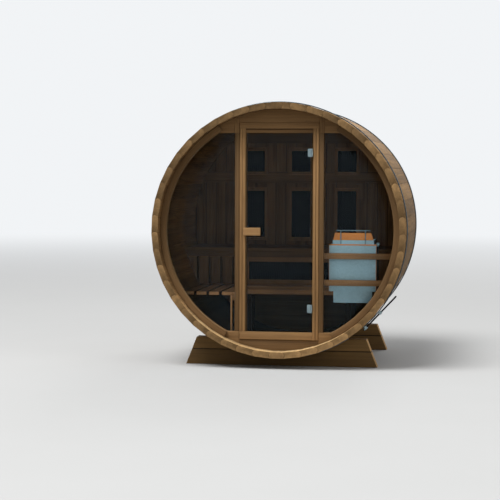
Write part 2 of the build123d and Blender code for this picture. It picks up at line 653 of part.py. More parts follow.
def bent_rail(x0, x1, y, top):
    """Thin rail over the heater, on two posts that stand on its body."""
    high = top + ROD_RISE
    length = x1 - x0 - 2 * ROD_INSET
    rail = Pos((x0 + x1) / 2, FRONT + y, high) * Cylinder(ROD_R, length, rotation=(0, 90, 0))
    for x in (x0 + ROD_POSTS[0], x1 - ROD_POSTS[1]):
        rail = rail + Pos(x, FRONT + y, (high + top) / 2) * Cylinder(ROD_R, high - top)
        rail = rail + Pos(x, FRONT + y, top + ROD_R / 2) * Cylinder(ROD_FOOT, ROD_R)
    return rail


def main():
    """Build every node and write it to its own file."""
    os.makedirs("parts", exist_ok=True)
    nodes = {}
    for made in (shell_nodes(), front_wall(), door_frame(), door(), frame_hinges()):
        nodes.update(made)
    nodes["hoop_front"], bolt_front = hoop(HOOP_FROM_END)
    rod_rear, bolt_rear = hoop(LENGTH - HOOP_FROM_END)
    nodes["hoop_rear"] = mirror(rod_rear, about=Plane.YZ)
    nodes["hoop_bolts"] = [bolt_front, mirror(bolt_rear, about=Plane.YZ)]
    cradles = [cradle(CRADLE_FROM_FRONT), cradle(LENGTH - CRADLE_FROM_REAR - CRADLE_T)]
    nodes["cradle_lower_boards"] = [lower for lower, upper in cradles]
    nodes["cradle_upper_boards"] = [upper for lower, upper in cradles]
    for made in (rear_bench(), foot_boards(), rear_wall(), heater()):
        nodes.update(made)
    for name, shape in nodes.items():
        save(name, shape)
    print(len(nodes), "nodes")


main()
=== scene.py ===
import json
import logging
import math
import random
from collections.abc import Callable, Iterable, Iterator
from contextlib import contextmanager
from dataclasses import dataclass, field
from enum import Enum
from itertools import product

import bmesh
import bpy
import numpy as np
from mathutils import Matrix, Vector

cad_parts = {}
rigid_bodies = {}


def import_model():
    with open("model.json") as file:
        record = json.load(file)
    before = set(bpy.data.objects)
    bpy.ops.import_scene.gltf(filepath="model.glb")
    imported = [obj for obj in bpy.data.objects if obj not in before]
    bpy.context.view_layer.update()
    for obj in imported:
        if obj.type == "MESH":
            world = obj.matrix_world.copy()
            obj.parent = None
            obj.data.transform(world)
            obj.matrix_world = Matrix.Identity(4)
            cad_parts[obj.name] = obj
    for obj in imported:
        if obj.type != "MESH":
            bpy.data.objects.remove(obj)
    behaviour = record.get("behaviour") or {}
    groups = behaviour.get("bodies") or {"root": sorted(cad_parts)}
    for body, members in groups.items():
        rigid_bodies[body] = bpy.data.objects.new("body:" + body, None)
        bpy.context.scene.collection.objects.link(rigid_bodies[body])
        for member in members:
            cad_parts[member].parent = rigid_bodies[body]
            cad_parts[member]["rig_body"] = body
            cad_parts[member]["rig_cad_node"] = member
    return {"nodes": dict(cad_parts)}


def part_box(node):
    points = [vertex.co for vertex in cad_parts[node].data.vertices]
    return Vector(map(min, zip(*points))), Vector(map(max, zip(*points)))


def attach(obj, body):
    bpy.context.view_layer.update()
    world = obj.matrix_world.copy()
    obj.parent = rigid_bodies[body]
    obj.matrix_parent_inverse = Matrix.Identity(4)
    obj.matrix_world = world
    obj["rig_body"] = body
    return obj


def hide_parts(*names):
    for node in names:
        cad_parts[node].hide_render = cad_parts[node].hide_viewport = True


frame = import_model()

LOG = logging.getLogger("barrel_sauna")
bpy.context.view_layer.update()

Piece = bpy.types.Object
Socket = bpy.types.NodeSocket
Colour = tuple[float, float, float]
Triple = tuple[float, float, float]
Corners = tuple[Triple, Triple]
Pairs = tuple[tuple[float, float], ...]

AXIS_Z = 1.12
FRONT = -0.9
BARREL_AXIS = Vector((0.0, 0.0, AXIS_Z))
CABIN = "cabin"
DOOR = "door"
QUARTER = math.pi / 2

# What counts as facing a way, as running the whole length, as flat and as the same place
FACING = 0.9
LONG = 1.0
FLAT = math.radians(0.8)
NEAR = 0.0001
WELD = 0.00002
TINY = 0.00001

# The colour sockets of the mix node, by place, and the bevel node's settings
MIX_INPUTS = (0, 6, 7)
MIX_RESULT = 2
BEVEL_SAMPLES = 4
ON_EDGE = 0.82


class Axis(Enum):
    """The direction that a board's fibres run in, with the two across it."""

    X = (0, 1, 2)
    Y = (1, 0, 2)
    Z = (2, 0, 1)
    ROUND = (3, 4, 1)


class Edge(Enum):
    """The two shapes of a stave's long edge, with the way that each swells."""

    BEAD = 1
    COVE = -1


class Part(Enum):
    """What is worked on in edit mode, with the name of its list in the mesh."""

    VERT = "verts"
    EDGE = "edges"
    FACE = "faces"


class Trait(Enum):
    """What each point or corner of a piece knows about its timber, with the painted light and shade
    written onto it.
    """

    GRAIN = "grain"
    # Each board's own tone, times the painted light and shade on it.
    TONE = "tone"
    END = "end_grain"
    # Greying by weather, and on the lip of the staves a painted sky light.
    WEATHER = "weather"
    # Metal that is darker all over, and painted shade in joints, grooves, gaps and on shaded sides.
    GRIME = "grime"


def srgb(red: int, green: int, blue: int) -> Colour:
    """Turn a colour as a paint shop writes it into linear light.

    Args:
        red: Red, 0 to 255.
        green: Green, 0 to 255.
        blue: Blue, 0 to 255.

    Returns:
        The same colour in linear values.
    """
    def linear(value: int) -> float:
        """One channel in linear light."""
        share = value / 255
        return share / 12.92 if share <= 0.04045 else ((share + 0.055) / 1.055) ** 2.4

    return linear(red), linear(green), linear(blue)


# Materials


class Graph:
    """The shader nodes of one material or of the world, added and linked by short calls."""

    def __init__(self, owner: bpy.types.Material | bpy.types.World) -> None:
        """Start with no nodes.

        Args:
            owner: The material or the world that the nodes belong to.
        """
        self.owner = owner
        owner.use_nodes = True
        self.tree = owner.node_tree
        self.tree.nodes.clear()

    def add(self, kind: str, inputs: dict | None = None, **settings: object) -> bpy.types.Node:
        """Add a node.

        Args:
            kind: Blender's name of the node type.
            inputs: Values or sockets for its inputs, by name or by place.
            **settings: Attributes of the node itself.

        Returns:
            The new node.
        """
        node = self.tree.nodes.new(kind)
        for key, value in settings.items():
            setattr(node, key, value)
        for key, value in (inputs or {}).items():
            if isinstance(value, Socket):
                self.tree.links.new(value, node.inputs[key])
            else:
                node.inputs[key].default_value = value
        return node

    def maths(self, operation: str, *values: object) -> Socket:
        """Join numbers or sockets by one sum.

        Args:
            operation: Blender's name of the sum.
            *values: Its two or three terms.

        Returns:
            The socket with the result.
        """
        return self.add("ShaderNodeMath", dict(enumerate(values)), operation=operation).outputs[0]

    def product(self, first: object, *others: object) -> Socket:
        """Multiply numbers and sockets.

        Args:
            first: A number or a socket.
            *others: The numbers or sockets to multiply it with.

        Returns:
            The socket with the product.
        """
        for other in others:
            first = self.maths("MULTIPLY", first, other)
        return first

    def noise(self, place: Socket, scale: Triple, detail: float = 3.0,
              rough: float = 0.55) -> Socket:
        """Noise that can be stretched along the grain.

        Args:
            place: Coordinates in metres.
            scale: How many times it repeats in a metre, along each axis.
            detail: Layers of finer noise.
            rough: How much the finer layers count.

        Returns:
            The noise, about 0 to 1.
        """
        put = self.add("ShaderNodeMapping", {"Vector": place, "Scale": scale})
        return self.add("ShaderNodeTexNoise", {"Vector": put.outputs[0], "Scale": 1.0, "Detail": detail,
                                               "Roughness": rough}).outputs["Fac"]

    def stretch(self, value: Socket, low: float, high: float,
                to_low: float = 0.0, to_high: float = 1.0) -> Socket:
        """Spread the range from low to high over another range, and clamp it.

        Args:
            value: The socket to read.
            low: Where the range starts.
            high: Where it ends.
            to_low: What low becomes.
            to_high: What high becomes.

        Returns:
            The socket with the result.
        """
        return self.add("ShaderNodeMapRange", {"Value": value, "From Min": low, "From Max": high,
                                               "To Min": to_low, "To Max": to_high}).outputs[0]

    def blend(self, share: object, first: object, second: object, kind: str = "MIX") -> Socket:
        """Mix two colours.

        Args:
            share: How much of the second, 0 to 1.
            first: A colour or a socket.
            second: A colour or a socket.
            kind: Blender's name of the way they mix.

        Returns:
            The socket with the mixed colour.
        """
        node = self.tree.nodes.new("ShaderNodeMix")
        node.data_type, node.blend_type = "RGBA", kind
        for place, value in zip(MIX_INPUTS, (share, first, second)):
            if isinstance(value, Socket):
                self.tree.links.new(value, node.inputs[place])
            else:
                node.inputs[place].default_value = (*value, 1.0) if isinstance(value, tuple) else value
        return node.outputs[MIX_RESULT]

    def shaded(self, colour: object, shade: Socket) -> Socket:
        """Multiply a colour by one number.

        Args:
            colour: A colour or a socket.
            shade: The number.

        Returns:
            The socket with the lighter or darker colour.
        """
        grey = self.add("ShaderNodeCombineColor", {0: shade, 1: shade, 2: shade}).outputs[0]
        return self.blend(1.0, colour, grey, "MULTIPLY")

    def trait(self, kind: Trait) -> Socket:
        """Read what the mesh says of its timber: a vector for the grain, else a number."""
        node = self.add("ShaderNodeAttribute", attribute_type="GEOMETRY", attribute_name=kind.value)
        return node.outputs["Vector" if kind is Trait.GRAIN else "Fac"]

    def places(self) -> Socket:
        """Coordinates of the piece itself, in metres."""
        return self.add("ShaderNodeTexCoord").outputs["Object"]

    def bump(self, height: Socket, depth: float, strength: float = 1.0) -> Socket:
        """Turn a height into a normal.

        Args:
            height: Heights from 0 to 1.
            depth: What 1 stands for, in metres.
            strength: Share of the effect.

        Returns:
            The normal.
        """
        return self.add("ShaderNodeBump", {"Height": height, "Distance": depth,
                                           "Strength": strength}).outputs[0]

    def edges(self, width: float) -> Socket:
        """Say how near the surface is to a sharp edge.

        Args:
            width: How far from an edge it is felt, in metres.

        Returns:
            0 on a flat and 1 on an edge.
        """
        bevel = self.add("ShaderNodeBevel", {"Radius": width}, samples=BEVEL_SAMPLES)
        plain = self.add("ShaderNodeNewGeometry")
        dot = self.add("ShaderNodeVectorMath", {0: bevel.outputs[0], 1: plain.outputs["Normal"]},
                       operation="DOT_PRODUCT")
        return self.stretch(dot.outputs["Value"], 1.0, ON_EDGE)

    def finish(self, inputs: dict) -> bpy.types.Material:
        """Close the material with one Principled shader.

        Args:
            inputs: Values or sockets for the shader.

        Returns:
            The material.
        """
        shader = self.add("ShaderNodeBsdfPrincipled", inputs)
        self.add("ShaderNodeOutputMaterial", {"Surface": shader.outputs[0]})
        return self.owner


@dataclass(frozen=True)
class WoodFinish:
    """Sawn and planed timber whose fibres follow each board.

    The board's own coordinates are read from its mesh, so that its end
    shows the same growth rings that its faces show as grain.
    """

    name: str
    dark: Colour
    light: Colour
    grey: Colour = srgb(140, 124, 100)
    weathering: float = 0.0
    ring: float = 0.0065
    ring_share: float = 0.28
    grime: float = 0.25
    wear_and_highlight: float = 1.0
    gloss: float = 0.18
    roughness: float = 0.64
    end_grain_and_light: float = 0.8
    end_grey: float = 0.0
    fibres: Triple = (3.0, 240.0, 240.0)
    streaks: Triple = (0.9, 30.0, 30.0)
    pores: Triple = (14.0, 700.0, 700.0)
    clouds: Triple = (2.6, 2.6, 2.6)
    bends: Triple = (1.6, 9.0, 9.0)
    bend: float = 0.03
    late_wood: float = 2.2
    grey_shadow: float = 0.55
    soiled_and_shaded: float = 0.3
    bare_and_lit: float = 1.35
    edge: float = 0.004
    relief: float = 0.0011

    def rings(self, g: Graph, grain: Socket) -> Socket:
        """Draw growth rings that bend a little along the board.

        Args:
            g: The nodes of the material.
            grain: The board's own coordinates.

        Returns:
            0 between two rings and 1 where one is darkest.
        """
        split = g.add("ShaderNodeSeparateXYZ", {0: grain})
        across = g.add("ShaderNodeCombineXYZ", {1: split.outputs[1], 2: split.outputs[2]})
        far = g.add("ShaderNodeVectorMath", {0: across.outputs[0]}, operation="LENGTH").outputs["Value"]
        bent = g.maths("MULTIPLY_ADD", g.noise(grain, self.bends, 2.0), self.bend, far)
        wave = g.maths("SINE", g.maths("MULTIPLY", bent, math.tau / self.ring))
        return g.maths("POWER", g.maths("MULTIPLY_ADD", wave, 0.5, 0.5), self.late_wood)

    def figure(self, g: Graph, fibre: Socket, streak: Socket, ring: Socket) -> Socket:
        """Say how light the timber is, from its fibres, streaks and rings.

        Args:
            g: The nodes of the material.
            fibre: Its fine fibres.
            streak: Its broad streaks.
            ring: Its growth rings.

        Returns:
            0 for the dark colour and 1 for the light one.
        """
        light = g.maths("MULTIPLY_ADD", g.stretch(streak, 0.3, 0.72), 0.5,
                        g.maths("MULTIPLY", g.stretch(fibre, 0.28, 0.72), 0.5))
        light = g.maths("SUBTRACT", light, g.maths("MULTIPLY", ring, self.ring_share))
        return g.stretch(light, -self.ring_share * 0.6, 0.95)

    def material(self) -> bpy.types.Material:
        """Build the shader.

        Returns:
            The finished material.
        """
        g = Graph(bpy.data.materials.new(self.name))
        grain, end, dirt_and_shade = g.trait(Trait.GRAIN), g.trait(Trait.END), g.trait(Trait.GRIME)
        fibre = g.noise(grain, self.fibres, 4.0, 0.6)
        streak = g.noise(grain, self.streaks, 4.0, 0.6)
        cloud = g.noise(g.places(), self.clouds, 3.0)
        ring = self.rings(g, grain)
        light = self.figure(g, fibre, streak, ring)
        grey = g.product(g.trait(Trait.WEATHER),
                         g.stretch(cloud, 0.2, 0.8, self.weathering * 0.55, self.weathering))
        grey = g.maths("MAXIMUM", grey, g.maths("MULTIPLY", end, self.end_grey))
        aged = g.blend(light, tuple(self.grey_shadow * c for c in self.grey), self.grey)
        colour = g.blend(grey, g.blend(light, self.dark, self.light), aged)
        # The tone carries painted light and shade as well as each board's own tone, and the
        # grime-and-shade mark paints shade into joints, grooves and gaps.
        shade = g.product(g.trait(Trait.TONE),
                          g.stretch(end, 0.3, 0.9, 1.0, self.end_grain_and_light),
                          g.stretch(dirt_and_shade, 0.0, 1.0, 1.0, self.soiled_and_shaded),
                          g.stretch(cloud, 0.25, 0.7, 1.0 - self.grime, 1.06),
                          g.stretch(g.noise(grain, self.pores, 2.0), 0.64, 0.74, 1.0, 0.72))
        # Edges are made lighter, partly as rubbed wood and partly as a painted highlight where they
        # catch the light, less so on darker faces.
        worn_and_highlit = g.product(g.edges(self.edge),
                         g.stretch(streak, 0.35, 0.7, 0.05 * self.wear_and_highlight, 0.5 * self.wear_and_highlight),
                         g.stretch(dirt_and_shade, 0.0, 0.6, 1.0, 0.0),
                         g.stretch(shade, 0.3, 1.0))
        bare_and_lit = tuple(min(1.0, self.bare_and_lit * c) for c in self.light)
        colour = g.blend(worn_and_highlit, g.shaded(colour, shade), bare_and_lit)
        rough = g.stretch(fibre, 0.3, 0.7, self.roughness - 0.08, self.roughness + 0.14)
        height = g.maths("MULTIPLY_ADD", fibre, 0.6, g.maths("MULTIPLY", ring, -0.35))
        return g.finish({"Base Color": colour, "Roughness": rough, "Specular IOR Level": self.gloss,
                         "Normal": g.bump(height, self.relief, 0.8)})


@dataclass(frozen=True)
class MetalFinish:
    """Sheet or bar metal with a drawn or dull surface."""

    name: str
    base: Colour
    metallic: float = 1.0
    roughness: float = 0.3
    drawn: Triple = (8.0, 8.0, 500.0)
    mottle: float = 0.12
    spangle: float = 0.0
    clouds: Triple = (9.0, 9.0, 9.0)
    flakes: Triple = (70.0, 70.0, 70.0)
    soiled_and_shaded: float = 0.12
    bare_and_lit: float = 1.4
    edge: float = 0.0015
    relief: float = 0.0002

    def material(self) -> bpy.types.Material:
        """Build the shader.

        Returns:
            The finished material.
        """
        g = Graph(bpy.data.materials.new(self.name))
        place = g.places()
        lines = g.noise(place, self.drawn, 3.0)
        cloud = g.noise(place, self.clouds, 4.0)
        shade = g.stretch(cloud, 0.25, 0.75, 1.0 - self.mottle, 1.0 + self.mottle * 0.5)
        if self.spangle:
            put = g.add("ShaderNodeMapping", {"Vector": place, "Scale": self.flakes})
            cell = g.add("ShaderNodeTexVoronoi", {"Vector": put.outputs[0], "Scale": 1.0})
            flake = g.add("ShaderNodeSeparateColor", {0: cell.outputs["Color"]}).outputs[0]
            shade = g.maths("MULTIPLY", shade, g.stretch(flake, 0.0, 1.0, 1.0 - self.spangle, 1.0))
        # Makes metal darker all over, and paints shade on the heater case's right side.
        shade = g.maths("MULTIPLY", shade, g.stretch(g.trait(Trait.GRIME), 0.0, 1.0, 1.0, self.soiled_and_shaded))
        bright = tuple(min(1.0, self.bare_and_lit * c) for c in self.base)
        # Edges are made lighter, partly as rubbed metal and partly as a painted highlight.
        worn_and_highlit = g.maths("MULTIPLY", g.edges(self.edge), g.stretch(shade, 0.3, 1.0, 0.0, 0.5))
        colour = g.blend(worn_and_highlit, g.shaded(self.base, shade), bright)
        uneven = g.maths("MULTIPLY_ADD", lines, 0.6, g.maths("MULTIPLY", cloud, 0.4))
        rough = g.stretch(uneven, 0.3, 0.7, self.roughness * 0.75, self.roughness * 1.35)
        return g.finish({"Base Color": colour, "Metallic": self.metallic, "Roughness": rough,
                         "Normal": g.bump(lines, self.relief, 0.5)})


@dataclass(frozen=True)
class GlassFinish:
    """Tinted safety glass that lets lamplight through, with faint smears."""

    name: str
    tint: Colour
    mirror: float = 1.19
    mirrored: Colour = (0.62, 0.8, 0.92)
    smears: Triple = (3.0, 3.0, 1.4)
    clean: float = 0.015
    smeared: float = 0.16

    def material(self) -> bpy.types.Material:
        """Build the shader.

        Returns:
            The finished material.
        """
        g = Graph(bpy.data.materials.new(self.name))
        smear = g.noise(g.places(), self.smears, 5.0)
        gloss = g.add("ShaderNodeBsdfPrincipled", {
            "Base Color": (*self.mirrored, 1.0), "Metallic": 1.0,
            "Roughness": g.stretch(smear, 0.35, 0.8, self.clean, self.smeared)})
        clear = g.add("ShaderNodeBsdfTransparent", {"Color": (*self.tint, 1.0)})
        share = g.add("ShaderNodeFresnel", {"IOR": self.mirror})
        both = g.add("ShaderNodeMixShader", {0: share.outputs[0], 1: clear.outputs[0],
                                             2: gloss.outputs[0]})
        g.add("ShaderNodeOutputMaterial", {"Surface": both.outputs[0]})
        return g.owner


@dataclass(frozen=True)
class PanelFinish:
    """Dark coated heating panel, a little dusty."""

    name: str
    base: Colour
    dusty: Colour
    clouds: Triple = (5.0, 5.0, 3.0)
    grit: Triple = (160.0, 160.0, 160.0)
    gloss: float = 0.05
    edge: float = 0.001
    relief: float = 0.0001

    def material(self) -> bpy.types.Material:
        """Build the shader.

        Returns:
            The finished material.
        """
        g = Graph(bpy.data.materials.new(self.name))
        place = g.places()
        dust = g.noise(place, self.clouds, 4.0)
        fine = g.noise(place, self.grit, 2.0)
        colour = g.blend(g.stretch(dust, 0.4, 0.85, 0.0, 0.3), self.base, self.dusty)
        colour = g.blend(g.maths("MULTIPLY", g.edges(self.edge), 0.4), colour, self.dusty)
        return g.finish({"Base Color": colour, "Roughness": g.stretch(dust, 0.3, 0.7, 0.5, 0.65),
                         "Specular IOR Level": self.gloss, "Normal": g.bump(fine, self.relief, 0.1)})


@dataclass(frozen=True)
class StoneFinish:
    """Broken heater stones, dark with pale specks."""

    name: str
    base: Colour
    speck: Colour
    lumps: Triple = (26.0, 26.0, 26.0)
    specks: Triple = (420.0, 420.0, 420.0)
    pale: float = 1.9
    roughness: float = 0.85
    relief: float = 0.004

    def material(self) -> bpy.types.Material:
        """Build the shader.

        Returns:
            The finished material.
        """
        g = Graph(bpy.data.materials.new(self.name))
        place = g.places()
        coarse = g.noise(place, self.lumps, 5.0, 0.65)
        fine = g.noise(place, self.specks, 2.0)
        pale = tuple(self.pale * c for c in self.base)
        colour = g.blend(g.stretch(coarse, 0.35, 0.7), self.base, pale)
        colour = g.blend(g.stretch(fine, 0.6, 0.72, 0.0, 0.7), colour, self.speck)
        return g.finish({"Base Color": colour, "Roughness": self.roughness,
                         "Normal": g.bump(coarse, self.relief, 0.8)})


@dataclass(frozen=True)
class Finishes:
    """Every finish of the sauna, with the record's slot names."""

    wood: tuple[WoodFinish, ...] = (
        WoodFinish("stave_wood", srgb(92, 64, 36), srgb(170, 128, 80), grey=srgb(140, 124, 92),
                   weathering=0.4, gloss=0.12, roughness=0.72, end_grey=0.35),
        WoodFinish("frame_wood", srgb(112, 82, 50), srgb(168, 130, 86), grime=0.12, ring_share=0.2),
        # The very light ends of the cradle and bench boards are painted light.
        WoodFinish("cradle_wood", srgb(80, 60, 32), srgb(126, 96, 56), grime=0.3, end_grain_and_light=2.8),
        WoodFinish("bench_wood", srgb(104, 72, 44), srgb(158, 119, 80), end_grain_and_light=2.7))
    metal: tuple[MetalFinish, ...] = (
        MetalFinish("bright_steel", srgb(131, 147, 151), roughness=0.3),
        MetalFinish("dark_steel", srgb(78, 86, 92), roughness=0.36),
        MetalFinish("galvanised_sheet", srgb(178, 214, 228), metallic=0.5, roughness=0.5,
                    drawn=(3.0, 3.0, 200.0), spangle=0.1),
        MetalFinish("copper_sheet", srgb(235, 152, 78), metallic=0.6, roughness=0.42))
    glass: GlassFinish = GlassFinish("tinted_glass", (0.90, 0.905, 0.90))
    panel: PanelFinish = PanelFinish("dark_panel", srgb(5, 8, 12), srgb(20, 25, 31))
    stone: StoneFinish = StoneFinish("stone", srgb(62, 60, 58), srgb(150, 146, 140))

    def make(self) -> dict[str, bpy.types.Material]:
        """Build all materials.

        Returns:
            The materials by slot name.
        """
        every = (*self.wood, *self.metal, self.glass, self.panel, self.stone)
        return {finish.name: finish.material() for finish in every}


# Modelling by hand


def deselect() -> None:
    """Leave nothing selected, so that an operator acts on one piece alone."""
    bpy.ops.object.select_all(action="DESELECT")


def take(piece: Piece) -> None:
    """Select one piece and make it the active one.

    Args:
        piece: The piece.
    """
    deselect()
    piece.select_set(True)
    bpy.context.view_layer.objects.active = piece


@contextmanager
def shaping(piece: Piece, kind: Part) -> Iterator[None]:
    """Work on a piece in edit mode.

    Args:
        piece: The piece to open.
        kind: What is worked on.

    Returns:
        Nothing, and the piece is closed at the end.
    """
    take(piece)
    bpy.ops.object.mode_set(mode="EDIT")
    bpy.ops.mesh.select_mode(type=kind.name)
    yield
    bpy.ops.object.mode_set(mode="OBJECT")


def choose(piece: Piece, kind: Part, test: Callable[[object], bool]) -> int:
    """Select part of a piece that is open in edit mode.

    Args:
        piece: The open piece.
        kind: What is selected.
        test: Says yes for what is wanted.

    Returns:
        How many were selected.
    """
    bpy.ops.mesh.select_all(action="DESELECT")
    mesh = bmesh.from_edit_mesh(piece.data)
    found = [part for part in getattr(mesh, kind.value) if test(part)]
    for part in found:
        part.select_set(True)
    mesh.select_flush_mode()
    bmesh.update_edit_mesh(piece.data)
    return len(found)


def extent(edge: bmesh.types.BMEdge, way: int) -> float:
    """How far an edge runs along x, y or z, by 0, 1 or 2."""
    return abs(edge.verts[0].co[way] - edge.verts[1].co[way])


def settle(piece: Piece) -> Piece:
    """Put the place, turn and scale of a piece into its mesh.

    Args:
        piece: The piece.

    Returns:
        The same piece.
    """
    take(piece)
    bpy.ops.object.transform_apply(location=True, rotation=True, scale=True)
    return piece


def named(name: str) -> Piece:
    """Name what was just added and settle it.

    Args:
        name: Its name.

    Returns:
        The piece.
    """
    piece = bpy.context.object
    piece.name = piece.data.name = name
    return settle(piece)


def cuboid(name: str, low: Iterable[float], high: Iterable[float]) -> Piece:
    """Start a piece as a block between two corners.

    Args:
        name: Its name.
        low: Its lowest corner.
        high: Its highest corner.

    Returns:
        The piece.
    """
    low, high = Vector(low), Vector(high)
    deselect()
    bpy.ops.mesh.primitive_cube_add(size=1, location=(low + high) / 2, scale=high - low)
    return named(name)


def cylinder(name: str, middle: Iterable[float], radius: float, length: float,
             turn: Triple = (0.0, 0.0, 0.0), sides: int = 32) -> Piece:
    """Start a round piece.

    Args:
        name: Its name.
        middle: The middle of it.
        radius: Its radius.
        length: Its length.
        turn: How it is turned from upright.
        sides: Its facets.

    Returns:
        The piece.
    """
    deselect()
    bpy.ops.mesh.primitive_cylinder_add(vertices=sides, radius=radius, depth=length,
                                        location=Vector(middle), rotation=turn)
    return named(name)


def ease(piece: Piece, width: float, segments: int = 2, sharp: float = 30.0) -> Piece:
    """Round the sharp edges of a piece.

    Args:
        piece: The piece.
        width: Width of the rounding.
        segments: Its steps.
        sharp: Edges that turn more than this many degrees are rounded.

    Returns:
        The same piece.
    """
    with shaping(piece, Part.EDGE):
        bpy.ops.mesh.select_all(action="DESELECT")
        bpy.ops.mesh.edges_select_sharp(sharpness=math.radians(sharp))
        bpy.ops.mesh.bevel(offset=width, offset_type="OFFSET", segments=segments, profile=0.6,
                           affect="EDGES", clamp_overlap=True)
    return piece


def smooth(piece: Piece, angle: float) -> None:
    """Shade the edges of a piece smooth that turn less than that many degrees."""
    take(piece)
    bpy.ops.object.shade_smooth_by_angle(angle=math.radians(angle))


def duplicate(piece: Piece, name: str, place: Matrix | None = None) -> Piece:
    """Copy a piece with a mesh of its own.

    Args:
        piece: The piece to copy.
        name: Name of the copy.
        place: Where the copy goes, put into its mesh.

    Returns:
        The copy.
    """
    copy = piece.copy()
    copy.data = piece.data.copy()
    copy.name = copy.data.name = name
    bpy.context.scene.collection.objects.link(copy)
    if place is not None:
        copy.data.transform(place)
    return copy


def join(pieces: list[Piece], name: str) -> Piece:
    """Join pieces into the first one and name it.

    Args:
        pieces: The pieces.
        name: Name of the joined piece.

    Returns:
        The joined piece.
    """
    deselect()
    for piece in pieces:
        piece.select_set(True)
    bpy.context.view_layer.objects.active = pieces[0]
    if len(pieces) > 1:
        bpy.ops.object.join()
    pieces[0].name = pieces[0].data.name = name
    return pieces[0]


def scrap(*pieces: Piece) -> None:
    """Throw helper pieces away."""
    for piece in pieces:
        bpy.data.objects.remove(piece)


def cut(piece: Piece, tool: Piece) -> None:
    """Cut a tool out of a piece and throw the tool away.

    Args:
        piece: The piece.
        tool: A closed solid.
    """
    take(piece)
    change = piece.modifiers.new("cut", "BOOLEAN")
    change.operation, change.object, change.solver = "DIFFERENCE", tool, "EXACT"
    bpy.ops.object.modifier_apply(modifier=change.name)
    scrap(tool)


def sawn(piece: Piece, way: int, places: Iterable[float], kerf: float) -> list[Piece]:
    """Saw a piece into boards, and throw the whole one away.

    Args:
        piece: The piece.
        way: 0, 1 or 2 for the direction across the boards.
        places: Where the saw goes.
        kerf: Room that it leaves.

    Returns:
        The boards.
    """
    places, boards = sorted(places), []
    across = [float(n == way) for n in range(3)]
    for low, high in zip(places, places[1:]):
        board = duplicate(piece, "board")
        with shaping(board, Part.VERT):
            for place, side in ((low + kerf / 2, "clear_inner"), (high - kerf / 2, "clear_outer")):
                bpy.ops.mesh.select_all(action="SELECT")
                bpy.ops.mesh.bisect(plane_co=[place * share for share in across], plane_no=across,
                                    use_fill=True, **{side: True})
        if board.data.vertices:
            boards.append(board)
        else:
            scrap(board)
    scrap(piece)
    return boards


def ribbed(piece: Piece, pitch: float = 0.02, depth: float = 0.002) -> Piece:
    """Press upright grooves into the face of a panel that looks at the door.

    Args:
        piece: The panel.
        pitch: From one groove to the next.
        depth: How deep they are.

    Returns:
        The same panel.
    """
    low, high = corners_of(piece)
    count = max(3, round((high.x - low.x) / pitch) * 2 + 1)
    step = (high.x - low.x) / count
    with shaping(piece, Part.FACE):
        for n in range(1, count):
            bpy.ops.mesh.select_all(action="SELECT")
            bpy.ops.mesh.bisect(plane_co=(low.x + n * step, 0, 0), plane_no=(1, 0, 0))
        choose(piece, Part.FACE, lambda f: f.normal.y < -FACING
               and int((f.calc_center_median().x - low.x) / step) % 2 == 1)
        bpy.ops.mesh.extrude_region_move(TRANSFORM_OT_translate={"value": (0, depth, 0)})
    return piece


def shifted(board: Piece, left: float, right: float) -> None:
    """Move the left and the right side of a board, each along x.

    Args:
        board: The board.
        left: How far its left side goes.
        right: How far its right side goes.
    """
    with shaping(board, Part.FACE):
        for side, way in ((-1, left), (1, right)):
            if way and choose(board, Part.FACE, lambda f: f.normal.x * side > FACING):
                bpy.ops.transform.translate(value=(way, 0, 0))


def turned(angle: float) -> Matrix:
    """Turn about the barrel axis, clockwise seen from the door, in degrees."""
    away = Matrix.Translation(BARREL_AXIS)
    return away @ Matrix.Rotation(math.radians(angle), 4, "Y") @ away.inverted()


def carried(node: str, name: str) -> Piece:
    """Copy a CAD node's mesh as a clean mesh of whole faces.

    Args:
        node: The CAD node.
        name: Name of the copy.

    Returns:
        The copy, not yet riding on a body.
    """
    source = frame["nodes"][node]
    copy = source.copy()
    copy.data = source.data.copy()
    copy.parent = None
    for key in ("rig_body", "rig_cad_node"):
        if key in copy:
            del copy[key]
    copy.name = copy.data.name = name
    bpy.context.scene.collection.objects.link(copy)
    copy.data.materials.clear()
    with shaping(copy, Part.VERT):
        bpy.ops.mesh.select_all(action="SELECT")
        bpy.ops.mesh.remove_doubles(threshold=WELD)
        bpy.ops.mesh.dissolve_limited(angle_limit=FLAT)
    return copy


def loose_parts(piece: Piece) -> list[Piece]:
    """Split a piece into its separate solids.

    Args:
        piece: The piece.

    Returns:
        Its solids, each a piece.
    """
    with shaping(piece, Part.VERT):
        bpy.ops.mesh.select_all(action="SELECT")
        bpy.ops.mesh.separate(type="LOOSE")
    return list(bpy.context.selected_objects)


def corners_of(piece: Piece) -> tuple[Vector, Vector]:
    """Find how far a piece reaches.

    Args:
        piece: The piece.

    Returns:
        Its lowest and its highest corner.
    """
    points = [v.co for v in piece.data.vertices]
    return (Vector([min(p[n] for p in points) for n in range(3)]),
            Vector([max(p[n] for p in points) for n in range(3)]))


def numbers(items: bpy.types.bpy_prop_collection, name: str, columns: int = 3) -> np.ndarray:
    """Read one value of every point, face or row of an attribute.

    Args:
        items: The points, the faces or the rows.
        name: Blender's name of the value.
        columns: How many numbers the value has.

    Returns:
        One row for each of them, or one number where the value has only one.
    """
    found = np.empty(len(items) * columns, np.float32)
    items.foreach_get(name, found)
    return found.reshape(-1, columns) if columns > 1 else found


